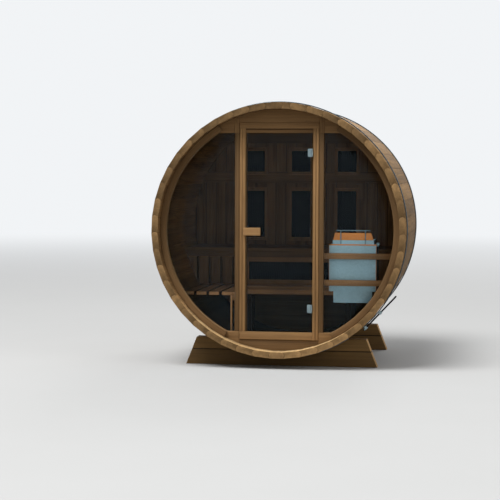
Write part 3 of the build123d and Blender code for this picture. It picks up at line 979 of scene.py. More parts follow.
class Timber:
    """Gives every board its own run of grain and its own tone."""

    piths: Pairs = ((0.0, 30.0), (-0.09, 0.09), (0.05, 0.2))
    runs: Pairs = ((0.0, 40.0), (-0.08, 0.08), (-0.05, 0.09))

    def __init__(self, seed: int) -> None:
        """Start from one seed, so that each run draws the same boards."""
        self.draw = random.Random(seed)

    def write(self, piece: Piece, trait: Trait, values: np.ndarray, corner: bool = False) -> None:
        """Store numbers in the mesh.

        Args:
            piece: The piece.
            trait: What they are.
            values: One row for each point, or for each corner of a face.
            corner: Whether they belong to corners.
        """
        kind, entry = ("FLOAT_VECTOR", "vector") if values.ndim == 2 else ("FLOAT", "value")
        layer = piece.data.attributes.get(trait.value)
        if layer is None:
            layer = piece.data.attributes.new(trait.value, kind, "CORNER" if corner else "POINT")
        layer.data.foreach_set(entry, values.astype(np.float32).ravel())

    def points(self, piece: Piece) -> np.ndarray:
        """Places of a piece's points."""
        return numbers(piece.data.vertices, "co").astype(float)

    def somewhere(self, spans: Pairs) -> np.ndarray:
        """Draw one number from each span."""
        return np.array([self.draw.uniform(*span) for span in spans])

    def soil_and_shade(self, piece: Piece, test: Callable[[bpy.types.MeshPolygon], bool],
             share: float = 1.0) -> None:
        """Darken the faces where dirt and shade gather.

        Args:
            piece: The piece.
            test: Says yes for those faces.
            share: How dark they get, 0 to 1.
        """
        marks = [share * test(face) for face in piece.data.polygons for _ in range(face.loop_total)]
        self.write(piece, Trait.GRIME, np.array(marks), corner=True)

    def lay(self, piece: Piece, axis: Axis, tone: float = 1.0, spread: float = 0.1,
            weather: float = 0.0) -> None:
        """Lay the grain of one board, and mark its ends.

        Args:
            piece: One board.
            axis: The way its fibres run.
            tone: How light the board is beside its finish, which on some pieces also paints light and
                shade on it.
            spread: How far that is drawn up or down.
            weather: How far open air has greyed it.
        """
        place, faces = self.points(piece), piece.data.polygons
        x, z = place[:, 0], place[:, 2] - AXIS_Z
        radius = np.hypot(x, z)
        every = np.column_stack([place, np.arctan2(x, z) * radius.mean(), radius])
        local = every[:, list(axis.value)]
        local -= local.mean(0)
        self.write(piece, Trait.GRAIN, local + self.somewhere(self.piths))
        lightness = tone * (1 + self.draw.uniform(-spread, spread))
        self.write(piece, Trait.TONE, np.full(len(place), lightness))
        run = np.zeros((len(faces), 3))
        if axis is Axis.ROUND:
            centres = numbers(faces, "center") - np.array(BARREL_AXIS)
            run[:, 0], run[:, 2] = centres[:, 2], -centres[:, 0]
            run /= np.maximum(np.linalg.norm(run, axis=1, keepdims=True), TINY)
        else:
            run[:, axis.value[0]] = 1.0
        ends = np.abs((numbers(faces, "normal") * run).sum(1))
        self.write(piece, Trait.END, np.repeat(ends, [face.loop_total for face in faces]), corner=True)
        self.write(piece, Trait.WEATHER, np.full(len(place), weather))
        self.write(piece, Trait.GRIME, np.zeros(len(piece.data.loops)), corner=True)


@dataclass
class Shop:
    """What every sub-assembly needs: its finishes, its timber and its list."""

    paints: dict[str, bpy.types.Material]
    timber: Timber
    made: list[str] = field(default_factory=list)

    def dress(self, piece: Piece, slot: str, body: str = CABIN, replaces: Iterable[str] = (),
              angle: float = 38.0) -> Piece:
        """Give a finished piece its material and its body.

        Args:
            piece: The finished piece.
            slot: The record's material slot.
            body: The body that it moves with.
            replaces: The CAD nodes that it stands for.
            angle: Edges gentler than this are shaded smooth.

        Returns:
            The same piece.
        """
        smooth(piece, angle)
        piece.data.materials.clear()
        piece.data.materials.append(self.paints[slot])
        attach(piece, body)
        if replaces:
            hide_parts(*replaces)
        self.made.append(piece.name)
        LOG.info("%s: %d faces, %s, on %s", piece.name, len(piece.data.polygons), slot, body)
        return piece

    def boards(self, node: str, name: str, slot: str, axis: Axis, width: float = 0.002,
               body: str = CABIN, segments: int = 2, tone: float = 1.0, spread: float = 0.1,
               moves: Pairs = ()) -> Piece:
        """Dress a CAD node as eased boards, each with its own grain.

        Args:
            node: The CAD node.
            name: Name of the new piece.
            slot: The record's material slot.
            axis: The way the fibres run.
            width: Rounding of the edges.
            body: The body that it moves with.
            segments: Steps of the rounding.
            tone: How light the boards are beside their finish, which on some pieces also paints light
                and shade on them.
            spread: How far each differs from that.
            moves: How far the left and the right side of each board go, from the left. The last
                pair stands for all that follow.

        Returns:
            The joined piece.
        """
        whole = carried(node, name)
        if moves:
            parts = sorted(loose_parts(whole), key=lambda part: corners_of(part)[0].x)
            for part, pair in zip(parts, moves + moves[-1:] * len(parts)):
                shifted(part, *pair)
            whole = join(parts, name)
        ease(whole, width, segments)
        parts = loose_parts(whole)
        parts.sort(key=lambda part: tuple(round(c, 3) for c in corners_of(part)[0]))
        for part in parts:
            self.timber.lay(part, axis, tone, spread)
        return self.dress(join(parts, name), slot, body, [node])


# The barrel


@dataclass(frozen=True)
class StaveLight:
    """Painted light and shade on the staves: on their ends round the barrel, in the recesses in front
    of the end walls, and on their inner faces in the room.
    """

    sky_start: float = 138.0
    sky_rise: float = 15.0
    sky_end: float = 246.0
    sky_fall: float = 24.0
    sky_bend: float = 1.5
    end: float = 0.99
    end_top: float = -0.24
    end_level: float = 0.15
    end_right: float = 0.11
    bead: float = 0.13
    lip: float = 0.58
    lip_open: float = 1.8
    lip_grey: float = 1.9
    back: float = 0.5
    back_open: float = 0.45
    room: float = 1.2
    floor: float = 0.14
    floor_start: float = 0.35
    floor_rise: float = 0.4

    def sky(self, angle: np.ndarray) -> np.ndarray:
        """Say how open the recess lies to the sky.

        Args:
            angle: Degrees round the barrel, clockwise from the top.

        Returns:
            1 where it is open and 0 where it is covered.
        """
        fading = np.clip((self.sky_end - angle) / self.sky_fall, 0, 1) ** self.sky_bend
        return fading * np.clip((angle - self.sky_start) / self.sky_rise, 0, 1)

    def ends(self, turn: np.ndarray) -> np.ndarray:
        """Say how much painted light the end grain gets: less at the top, more at the bottom and on the
        right.

        Args:
            turn: Radians round the barrel, clockwise from the top.

        Returns:
            The lightness there.
        """
        return (self.end + self.end_top * np.cos(turn) + self.end_level * np.cos(turn) ** 2
                + self.end_right * np.sin(turn))

    def recess(self, sky: np.ndarray, inward: np.ndarray) -> np.ndarray:
        """Paint light on the inner face in front of an end wall, bright at the open lip and shaded
        towards the wall.

        Args:
            sky: How open it lies to the sky.
            inward: 0 at the end of the stave and 1 at the wall.

        Returns:
            The lightness there.
        """
        outer, deep = self.lip + self.lip_open * sky, self.back + self.back_open * sky
        return outer * (1 - inward) + deep * inward

    def inside(self, turn: np.ndarray) -> np.ndarray:
        """Say how light the inner face is in the room: painted light on the sides, and darker towards
        the bottom with painted shade and grime.

        Args:
            turn: Radians round the barrel, clockwise from the top.

        Returns:
            The lightness there.
        """
        below = np.clip((-np.cos(turn) - self.floor_start) / self.floor_rise, 0, 1)
        return self.room + (self.floor - self.room) * below


@dataclass
class StaveShell:
    """The barrel of bead and cove staves on a narrow base stave."""

    shop: Shop
    length: float = 1.8
    radius: float = 1.032
    thickness: float = 0.052
    right: int = 22
    left: int = 23
    base_angle: float = 5.5
    closing_angle: float = 5.0
    bead: float = 0.016
    shoulder: float = 0.0025
    play: float = 0.00015
    steps: int = 12
    groove: float = 0.01
    groove_half: float = 0.15
    groove_play: float = 0.0003
    recess: float = 0.115
    wall: float = 0.042
    ease_long: float = 0.003
    ease_end: float = 0.0035
    aged_depth: float = 0.02
    aged_fade: float = 0.012
    rim: float = 0.006
    inner_band: float = 0.004
    base_staves: int = 3
    low_staves: int = 13
    spread: float = 0.22
    light: StaveLight = StaveLight()
    marked: dict[tuple[str, int], float] = field(default_factory=lambda: {
        ("right", 13): 1.42, ("right", 12): 0.8, ("right", 16): 1.2, ("right", 18): 1.22,
        ("left", 12): 1.2, ("left", 14): 1.18, ("left", 13): 0.9, ("right", 17): 0.88})

    @property
    def pitch(self) -> float:
        """Angle of a full stave."""
        return (360 - self.base_angle - self.closing_angle) / (self.right + self.left)

    @property
    def flat_inside(self) -> float:
        """Barrel axis to the middle of a stave's inner face."""
        return self.radius * math.cos(math.radians(self.pitch / 2)) - self.thickness

    def section(self, span: float, left: Edge, right: Edge) -> list[Triple]:
        """Outline of a stave at the top of the barrel, seen from the door.

        Args:
            span: Its angle.
            left: The shape of its left edge.
            right: The shape of its right edge.

        Returns:
            The places of its outline.
        """
        inner = self.flat_inside / math.cos(math.radians(self.pitch / 2))
        middle, half = (inner + self.radius) / 2, (self.radius - inner) / 2 - self.shoulder
        arc = (half ** 2 + self.bead ** 2) / (2 * self.bead)
        reach = math.asin(half / arc)
        outline: list[Triple] = []
        for side, kind in ((-1, left), (1, right)):
            a = math.radians(span / 2) * side
            out = Vector((side * math.cos(a), -side * math.sin(a)))
            up = Vector((math.sin(a), math.cos(a)))
            bulge = kind.value
            size = arc - bulge * self.play
            edge = [up * inner - out * self.play]
            for step in range(self.steps + 1):
                swing = -reach + 2 * reach * step / self.steps
                swell = bulge * (size * math.cos(swing) - (arc - self.bead))
                edge.append(up * (middle + size * math.sin(swing)) + out * swell)
            edge.append(up * self.radius - out * self.play)
            outline += edge if side < 0 else edge[::-1]
        return [(p.x, 0.0, p.y + AXIS_Z) for p in outline]

    def master(self, name: str, span: float, left: Edge, right: Edge) -> Piece:
        """Model one stave at the top of the barrel.

        Args:
            name: Its name.
            span: Its angle.
            left: The shape of its left edge.
            right: The shape of its right edge.

        Returns:
            The stave, with both grooves for the end walls.
        """
        outline = self.section(span, left, right)
        deselect()
        bpy.ops.mesh.primitive_circle_add(vertices=len(outline), radius=0.1, fill_type="NGON")
        stave = named(name)
        for point, place in zip(stave.data.vertices, outline):
            point.co = (place[0], -self.length / 2, place[2])
        with shaping(stave, Part.FACE):
            bpy.ops.mesh.select_all(action="SELECT")
            bpy.ops.mesh.extrude_region_move(TRANSFORM_OT_translate={"value": (0, self.length, 0)})
            bpy.ops.mesh.select_all(action="SELECT")
            bpy.ops.mesh.normals_make_consistent(inside=False)
        end, rim = self.length / 2 - NEAR, self.radius - 2 * NEAR
        with shaping(stave, Part.EDGE):
            choose(stave, Part.EDGE, lambda e: all(abs(v.co.y) > end for v in e.verts)
                   and extent(e, 1) < NEAR)
            bpy.ops.mesh.bevel(offset=self.ease_end, segments=2, affect="EDGES", clamp_overlap=True)
            choose(stave, Part.EDGE, lambda e: extent(e, 1) > LONG
                   and all((v.co - BARREL_AXIS).xz.length > rim for v in e.verts))
            bpy.ops.mesh.bevel(offset=self.ease_long, segments=2, affect="EDGES", clamp_overlap=True)
        top = AXIS_Z + self.flat_inside + self.groove
        for y in (-self.length / 2 + self.recess, self.length / 2 - self.recess - self.wall):
            cut(stave, cuboid("groove", (-self.groove_half, y - self.groove_play, top - self.thickness),
                              (self.groove_half, y + self.wall + self.groove_play, top)))
        self.shop.timber.lay(stave, Axis.Y)
        self.age(stave, -right.value)
        return stave

    def age(self, stave: Piece, hollow: int) -> None:
        """Mark the outer face of a stave as greyed by weather, and paint shade on the rim of its hollow
        edge, where the joint lies in shadow.

        Args:
            stave: The stave, at the top of the barrel.
            hollow: 1 where its hollow edge is on the right, -1 on the left.
        """
        place = self.shop.timber.points(stave)
        away = np.hypot(place[:, 0], place[:, 2] - AXIS_Z)
        aged = np.clip((away - self.radius + self.aged_depth) / self.aged_fade, 0, 1)
        self.shop.timber.write(stave, Trait.WEATHER, aged)
        rim = AXIS_Z + self.radius - self.rim
        self.shop.timber.soil_and_shade(stave, lambda face: face.normal.x * hollow > 0.25 and (
            0.15 < abs(face.normal.y) < 0.97 or (abs(face.normal.z) > 0.2 and face.center.z > rim)))

    def vary(self, stave: Piece, tone: float) -> None:
        """Give a copied stave its own stretch of grain, its tone, and its painted light and shade.

        Args:
            stave: The stave, in its place.
            tone: How light it is.
        """
        timber = self.shop.timber
        grain = numbers(stave.data.attributes[Trait.GRAIN.value].data, "vector")
        timber.write(stave, Trait.GRAIN, grain + timber.somewhere(timber.runs))
        self.paint_light_and_shade(stave, tone)

    def paint_light_and_shade(self, stave: Piece, tone: float) -> None:
        """Paint light and shade on a stave: on its ends, on what lies open to the sky, and shade on
        what lies under it.

        Args:
            stave: The stave, in its place.
            tone: How light it is as a whole.
        """
        light, half = self.light, self.length / 2
        place = self.shop.timber.points(stave) - np.array(BARREL_AXIS)
        angle = np.degrees(np.arctan2(place[:, 0], place[:, 2])) % 360
        turn, depth, sky = np.radians(angle), place[:, 1] + half, light.sky(angle)
        inner = np.hypot(place[:, 0], place[:, 2]) < self.flat_inside + self.inner_band
        lip = inner & (depth > 5 * NEAR) & (depth < self.recess + 5 * NEAR)
        behind = depth > self.recess + self.wall - 10 * NEAR
        room = inner & behind & (depth < self.length - self.recess)
        middle = np.degrees(np.arctan2(place[:, 0].mean(), place[:, 2].mean())) % 360
        # Painted light on the ends: by their place round the ring, and lighter at each stave's upper,
        # bead edge than at its cove edge.
        up = ((angle - middle + 180) % 360 - 180) * np.sign(middle - 180) / (self.pitch / 2)
        slope = light.bead * np.clip(up, -1, 1) if abs(middle - 180) > 1 else 0.0
        factor = np.where(np.abs(place[:, 1]) > half - 5 * NEAR, light.ends(turn) * (1 + slope), 1.0)
        # Painted sky light on the lip, fading to painted shade towards the wall.
        factor = np.where(lip, light.recess(sky, np.clip(depth / self.recess, 0, 1)), factor)
        # Painted light on the inner faces in the room, darker towards the bottom with painted shade and
        # grime.
        factor = np.where(room, light.inside(turn), factor)
        self.shop.timber.write(stave, Trait.TONE, tone * factor)
        aged = numbers(stave.data.attributes[Trait.WEATHER.value].data, "value", 1)
        # On the lip, painted sky light greys the wood where it lies open to the sky.
        self.shop.timber.write(stave, Trait.WEATHER, np.where(lip, light.lip_grey * sky, aged))

    def build(self) -> None:
        """Raise the staves up both sides and drive in the closing one."""
        kinds = {"right": self.master("stave_right", self.pitch, Edge.BEAD, Edge.COVE),
                 "left": self.master("stave_left", self.pitch, Edge.COVE, Edge.BEAD),
                 "base": self.master("stave_base", self.base_angle, Edge.BEAD, Edge.BEAD),
                 "closing": self.master("stave_closing", self.closing_angle, Edge.COVE, Edge.COVE)}
        start = 180 - self.base_angle / 2
        places = {"right": [start - self.pitch * (n + 0.5) for n in range(self.right)],
                  "left": [360 - start + self.pitch * (n + 0.5) for n in range(self.left)]}
        groups: dict[str, list[Piece]] = {}
        groups["shell_base"] = [duplicate(kinds["base"], "stave", turned(180))]
        draw, tones = self.shop.timber.draw, {}
        for side, angles in places.items():
            for n, angle in enumerate(angles):
                height = "low" if n < self.low_staves else "high"
                group = "shell_base" if n < self.base_staves else f"shell_{side}_{height}"
                stave = duplicate(kinds[side], "stave", turned(angle))
                tones[stave] = self.marked.get((side, n), 1 + draw.uniform(-self.spread, self.spread))
                groups.setdefault(group, []).append(stave)
        closing = start - self.pitch * self.right - self.closing_angle / 2
        groups["closing_stave"] = [duplicate(kinds["closing"], "stave", turned(closing))]
        scrap(*kinds.values())
        for node, staves in groups.items():
            for stave in staves:
                self.vary(stave, tones.get(stave, 1.0))
            name = node.replace("shell", "staves") if node != "closing_stave" else "stave_closing"
            self.shop.dress(join(staves, name), "stave_wood", CABIN, [node])


@dataclass
class Hoops:
    """Two round steel hoops, each pulled tight by a threaded bolt between two lugs."""

    shop: Shop
    radius: float = 1.032
    rod: float = 0.0045
    from_end: float = 0.1
    length: float = 1.8
    upper: float = 128.5
    lower: float = 137.5
    bolt_lift: float = 0.018
    bolt: float = 0.0072
    tail: float = 0.178
    stub: float = 0.018
    lug: Triple = (0.022, 0.026, 0.032)
    lug_foot: float = 0.0013
    lug_round: float = 0.0085
    lug_ease: float = 0.0014
    play: float = 0.0003
    sides: int = 12
    steps: int = 200
    thread: float = 0.0025
    root: float = 0.84
    nut: tuple[float, float] = (0.0095, 0.008)
    nut_off: float = 0.007
    nut_ease: float = 0.0008
    washer: tuple[float, float] = (0.012, 0.0022)
    washer_in: float = 0.0052
    washer_ease: float = 0.0004

    def ring(self, y: float) -> Piece:
        """Bend one rod round the barrel, from one lug to the other.

        Args:
            y: Where its hoop lies.

        Returns:
            The rod.
        """
        centre = self.radius + self.play + self.rod
        deselect()
        bpy.ops.mesh.primitive_circle_add(vertices=self.sides, radius=self.rod,
                                          location=(0, y, AXIS_Z + centre), rotation=(0, QUARTER, 0))
        rod = named("rod")
        with shaping(rod, Part.EDGE):
            bpy.ops.mesh.select_all(action="SELECT")
            bpy.ops.mesh.spin(steps=self.steps, angle=math.radians(360 - self.lower + self.upper),
                              center=(0, y, AXIS_Z), axis=(0, 1, 0))
            bpy.ops.mesh.select_all(action="SELECT")
            bpy.ops.mesh.remove_doubles(threshold=TINY)
            bpy.ops.mesh.fill_holes(sides=0)
            bpy.ops.mesh.normals_make_consistent(inside=False)
        rod.data.transform(turned(self.lower))
        return rod

    def clamp(self, y: float) -> Piece:
        """Model one lug at the top of the barrel, a folded saddle with a round back.

        Args:
            y: Where its hoop lies.

        Returns:
            The lug.
        """
        across, along, tall = self.lug
        foot = AXIS_Z + self.radius + self.lug_foot
        block = cuboid("lug", (-across / 2, y - along / 2, foot),
                       (across / 2, y + along / 2, foot + tall))
        with shaping(block, Part.EDGE):
            choose(block, Part.EDGE, lambda e: all(v.co.z > foot + tall / 2 for v in e.verts)
                   and extent(e, 1) < TINY)
            bpy.ops.mesh.bevel(offset=self.lug_round, segments=5, affect="EDGES")
        return ease(block, self.lug_ease, 2, 40)

    def build(self) -> None:
        """Bend, bolt and dress both hoops, the rear one with its bolt on the other side."""
        clamps, bolts, ends = [], [], []
        for node, y, side in (("hoop_front", FRONT + self.from_end, 1),
                              ("hoop_rear", FRONT + self.length - self.from_end, -1)):
            rod = self.ring(y)
            lug = self.clamp(y)
            pair = [duplicate(lug, "lug", turned(angle)) for angle in (self.upper, self.lower)]
            scrap(lug)
            bolt, nuts = self.tightener(y)
            if side < 0:
                for piece in (rod, bolt, nuts, *pair):
                    self.swap_sides(piece)
            self.shop.dress(rod, "dark_steel", CABIN, [node])
            rod.name = rod.data.name = node + "_rod"
            clamps += pair
            bolts.append(bolt)
            ends.append(nuts)
        self.shop.dress(join(clamps, "hoop_clamps"), "bright_steel", CABIN, ["hoop_front", "hoop_rear"])
        threads = join(bolts, "hoop_threads")
        self.shop.timber.soil_and_shade(threads, lambda face: True)
        self.shop.dress(threads, "dark_steel", CABIN, ["hoop_bolts"])
        self.shop.dress(join(ends, "hoop_nuts"), "bright_steel", CABIN, ["hoop_bolts"])

    def swap_sides(self, piece: Piece) -> None:
        """Mirror a piece to the other side of the barrel."""
        piece.data.transform(Matrix.Scale(-1, 4, (1, 0, 0)))
        piece.data.flip_normals()

    def tightener(self, y: float) -> tuple[Piece, Piece]:
        """Model the bolt with its cut thread, and its nuts and washers.

        Args:
            y: Where its hoop lies.

        Returns:
            The threaded bolt, and the nuts with their washers.
        """
        line = self.radius + self.bolt_lift
        reach = line * math.sin(math.radians((self.lower - self.upper) / 2)) + self.lug[0] / 2
        low, top = -reach - self.stub, reach + self.tail
        place = turned((self.upper + self.lower) / 2)
        turns = int((top - low) / self.thread)
        deselect()
        bpy.ops.mesh.primitive_cylinder_add(vertices=self.sides, radius=self.bolt, depth=self.thread,
                                            end_fill_type="NOTHING")
        shaft = named("bolt")
        with shaping(shaft, Part.VERT):
            bpy.ops.mesh.select_all(action="SELECT")
            bpy.ops.mesh.bisect(plane_co=(0, 0, 0), plane_no=(0, 0, 1))
            choose(shaft, Part.VERT, lambda v: abs(v.co.z) < TINY)
            bpy.ops.transform.resize(value=(self.root, self.root, 1.0))
        take(shaft)
        rows = shaft.modifiers.new("thread", "ARRAY")
        rows.count, rows.use_merge_vertices, rows.merge_threshold = turns, True, TINY
        rows.relative_offset_displace = (0, 0, 1)
        bpy.ops.object.modifier_apply(modifier=rows.name)
        with shaping(shaft, Part.VERT):
            bpy.ops.mesh.select_all(action="SELECT")
            bpy.ops.mesh.fill_holes(sides=0)
            bpy.ops.mesh.normals_make_consistent(inside=False)
        start = Vector((-low - self.thread / 2, y, AXIS_Z + line))
        shaft.data.transform(Matrix.Translation(start) @ Matrix.Rotation(-QUARTER, 4, "Y"))
        parts = []
        for x in (-reach - self.nut_off, reach + self.nut_off):
            inward = math.copysign(abs(x) - self.washer_in, x)
            nut = cylinder("nut", (x, y, AXIS_Z + line), *self.nut, (0, QUARTER, 0), 6)
            washer = cylinder("washer", (inward, y, AXIS_Z + line), *self.washer, (0, QUARTER, 0), 24)
            parts += [ease(nut, self.nut_ease), ease(washer, self.washer_ease, 1)]
        nuts = join(parts, "nuts")
        for piece in (shaft, nuts):
            piece.data.transform(place)
        return shaft, nuts


@dataclass
class Cradles:
    """Two trapezoid cradles of two layers, hollowed to the barrel."""

    shop: Shop
    ease: float = 0.005
    joint: float = 0.128
    joint_band: float = 0.006
    lower: float = 1.0
    # The upper layer's higher tone is painted light.
    upper: float = 1.2

    def build(self) -> None:
        """Dress both layers of the cradles, and paint shade into the joint between them."""
        for node, name, tone in (("cradle_lower_boards", "cradle_feet", self.lower),
                                 ("cradle_upper_boards", "cradle_saddles", self.upper)):
            layer = self.shop.boards(node, name, "cradle_wood", Axis.X, self.ease, tone=tone)
            self.shop.timber.soil_and_shade(layer, lambda face: abs(face.center.z - self.joint) < self.joint_band
                                  and 0.1 < abs(face.normal.z) < 0.98)


# The front wall


@dataclass
class FrontWall:
    """Posts, curved frames and panels round the glass."""

    shop: Shop
    ease: float = 0.0022
    spread: float = 0.03
    # Each tone is partly the board's own colour, and the low tones of the posts, trims, head, top board
    # and upper corners also paint the shade that the barrel's overhang casts on them.
    tones: dict[str, float] = field(default_factory=lambda: {
        "posts": 0.45, "curves": 0.7, "trims": 0.54, "corners_top": 0.75, "corners_bottom": 0.78,
        "top": 0.88, "bottom": 0.5, "jambs": 0.96, "head": 0.88, "sill": 0.87, "stop": 0.4})
    post_head: float = 0.368
    post_width: float = 0.1
    beyond: float = 1.1
    head_height: float = 0.047
    groove: float = 0.008
    groove_half: float = 0.2745
    quirk: float = 0.0045
    quirk_shade: float = 0.3
    clear: float = 0.01
    kerf: float = 0.0008
    trim_ease: float = 0.004
    pane_ease: float = 0.0006
    stop: Corners = ((-0.275, -0.7735, 0.294), (-0.2625, -0.744, 1.907))
    stop_round: float = 0.004
    stop_ease: float = 0.0008

    def build(self) -> None:
        """Dress the wooden wall and glaze its side windows."""
        board, tone = self.shop.boards, self.tones
        for node, name, axis, part in (
                ("window_posts", "posts", Axis.Z, "posts"),
                ("window_rings", "window_curves", Axis.ROUND, "curves"),
                ("corner_panels_bottom", "wall_corners_bottom", Axis.X, "corners_bottom"),
                ("top_panel", "wall_top_board", Axis.X, "top"),
                ("bottom_panel", "wall_bottom_board", Axis.X, "bottom"),
                ("door_sill", "sill", Axis.X, "sill")):
            piece = board(node, name, "frame_wood", axis, self.ease, tone=tone[part],
                          spread=self.spread)
            # Painted shade under the top board, where it meets the head.
            if part == "top":
                self.shop.timber.soil_and_shade(piece, lambda face: face.normal.z < -0.3)
        board("curved_trims", "curved_cover_trims", "frame_wood", Axis.ROUND, self.trim_ease,
              segments=3, tone=tone["trims"], spread=self.spread)
        self.jambs()
        self.head()
        self.upper_corners()
        self.closing_strip()
        panes = ease(carried("side_windows", "side_panes"), self.pane_ease, 1)
        self.shop.dress(panes, "tinted_glass", CABIN, ["side_windows"])

    def jambs(self) -> None:
        """Run a fine quirk down the face of each jamb, and paint shade into it."""
        jambs, half = loose_parts(carried("door_jambs", "jamb")), self.quirk / 2
        for jamb in jambs:
            low, high = corners_of(jamb)
            middle = (low.x + high.x) / 2
            cut(jamb, cuboid("quirk", (middle - half, low.y - self.clear, low.z - self.clear),
                             (middle + half, low.y + self.quirk, high.z + self.clear)))
            ease(jamb, self.ease)
            self.shop.timber.lay(jamb, Axis.Z, self.tones["jambs"], self.spread)
            self.shop.timber.soil_and_shade(jamb, lambda face: abs(face.center.x - middle) < half + 4 * NEAR
                                  and face.center.y > low.y + 5 * NEAR, self.quirk_shade)
        self.shop.dress(join(jambs, "jambs"), "frame_wood", CABIN, ["door_jambs"])

    def head(self) -> None:
        """Rout the shadow groove between the head and the strip that the leaf closes against."""
        head = carried("door_head", "head")
        front = max(face.center.y for face in head.data.polygons if face.normal.y < -FACING)
        top = corners_of(head)[1].z - self.head_height
        cut(head, cuboid("groove", (-self.groove_half, front - self.clear, top - self.groove),
                         (self.groove_half, front + self.groove, top - 4 * NEAR)))
        ease(head, self.ease)
        self.shop.timber.lay(head, Axis.X, self.tones["head"], self.spread)
        # Painted shade in the groove under the head.
        self.shop.timber.soil_and_shade(head, lambda face: top - self.groove - 10 * NEAR < face.center.z < top
                              and face.center.y > front - 10 * NEAR)
        self.shop.dress(head, "frame_wood", CABIN, ["door_head"])

    def upper_corners(self) -> None:
        """Fit the upper corners as a board each beside the head of its post."""
        saws = (-self.beyond, -self.post_head, 0.0, self.post_head, self.beyond)
        boards = sawn(carried("corner_panels_top", "corner"), 0, saws, self.kerf)
        for board in boards:
            low, high = corners_of(board)
            upright = high.x - low.x < self.post_width
            ease(board, self.ease)
            self.shop.timber.lay(board, Axis.Z if upright else Axis.X, self.tones["corners_top"],
                                 2 * self.spread)
        self.shop.dress(join(boards, "wall_corners_top"), "frame_wood", CABIN, ["corner_panels_top"])

    def closing_strip(self) -> None:
        """Pin the strip to the left jamb that the leaf closes against."""
        strip = cuboid("closing_strip", *self.stop)
        with shaping(strip, Part.EDGE):
            choose(strip, Part.EDGE, lambda e: all(v.co.x > self.stop[1][0] - NEAR for v in e.verts)
                   and extent(e, 2) > LONG)
            bpy.ops.mesh.bevel(offset=self.stop_round, segments=3, affect="EDGES")
        ease(strip, self.stop_ease, 1, 50)
        self.shop.timber.lay(strip, Axis.Z, self.tones["stop"])
        self.shop.dress(strip, "frame_wood")


@dataclass
class GlassDoor:
    """Frameless leaf with its grips and hinges."""

    shop: Shop
    plate_x: float = 0.246
    plate_faces: tuple[float, float] = (-0.788, -0.77)
    plate_half: float = 0.033
    plate_ease: float = 0.0008
    hinge_ease: float = 0.0004
    leaf_ease: float = 0.0012
    grip_ease: float = 0.002
    inner_grip_ease: float = 0.006
    screw: float = 0.0034
    screw_ease: float = 0.0002
    screw_head: float = 0.0016
    screw_sunk: float = 0.0006
    socket: float = 0.0009
    apart: float = 0.021

    def build(self) -> None:
        """Dress the leaf and all that swings with it."""
        shop = self.shop
        leaf = ease(carried("door_glass", "door_leaf"), self.leaf_ease)
        shop.dress(leaf, "tinted_glass", DOOR, ["door_glass"])
        shop.boards("door_handle", "grip", "frame_wood", Axis.X, self.grip_ease, DOOR, tone=1.1,
                    spread=0.02)
        shop.boards("door_handle_inside", "grip_inside", "frame_wood", Axis.X, self.inner_grip_ease,
                    DOOR, segments=3)
        plates = ease(carried("door_hinges", "hinge_plates"), self.plate_ease)
        low, high = corners_of(plates)
        shop.dress(plates, "bright_steel", DOOR, ["door_hinges"])
        leaves = ease(carried("frame_hinges", "hinge_leaves"), self.hinge_ease, 1)
        shop.dress(leaves, "bright_steel", CABIN, ["frame_hinges"])
        self.screws((low.z + self.plate_half, high.z - self.plate_half))

    def screws(self, hinges: Iterable[float]) -> None:
        """Turn two socket screws into both sides of every plate on the glass.

        Args:
            hinges: Height of the middle of each hinge.
        """
        front, back = self.plate_faces
        head = cylinder("screw", (self.plate_x, front - self.screw_sunk, 0), self.screw,
                        self.screw_head, (QUARTER, 0, 0), 18)
        with shaping(head, Part.FACE):
            choose(head, Part.FACE, lambda f: f.normal.y < -FACING)
            bpy.ops.mesh.inset(thickness=self.screw * 0.45)
            bpy.ops.mesh.extrude_region_move(TRANSFORM_OT_translate={"value": (0, self.socket, 0)})
        ease(head, self.screw_ease, 1, 50)
        turned_over = Matrix.Rotation(math.pi, 4, "Z") @ Matrix.Translation((-self.plate_x, -front, 0))
        heads = []
        for hinge in hinges:
            for z in (hinge - self.apart, hinge + self.apart):
                over = Matrix.Translation((self.plate_x, back, z)) @ turned_over
                heads += [duplicate(head, "screw", Matrix.Translation((0, 0, z))),
                          duplicate(head, "screw", over)]
        scrap(head)
        self.shop.dress(join(heads, "hinge_screws"), "bright_steel", DOOR)


# Inside


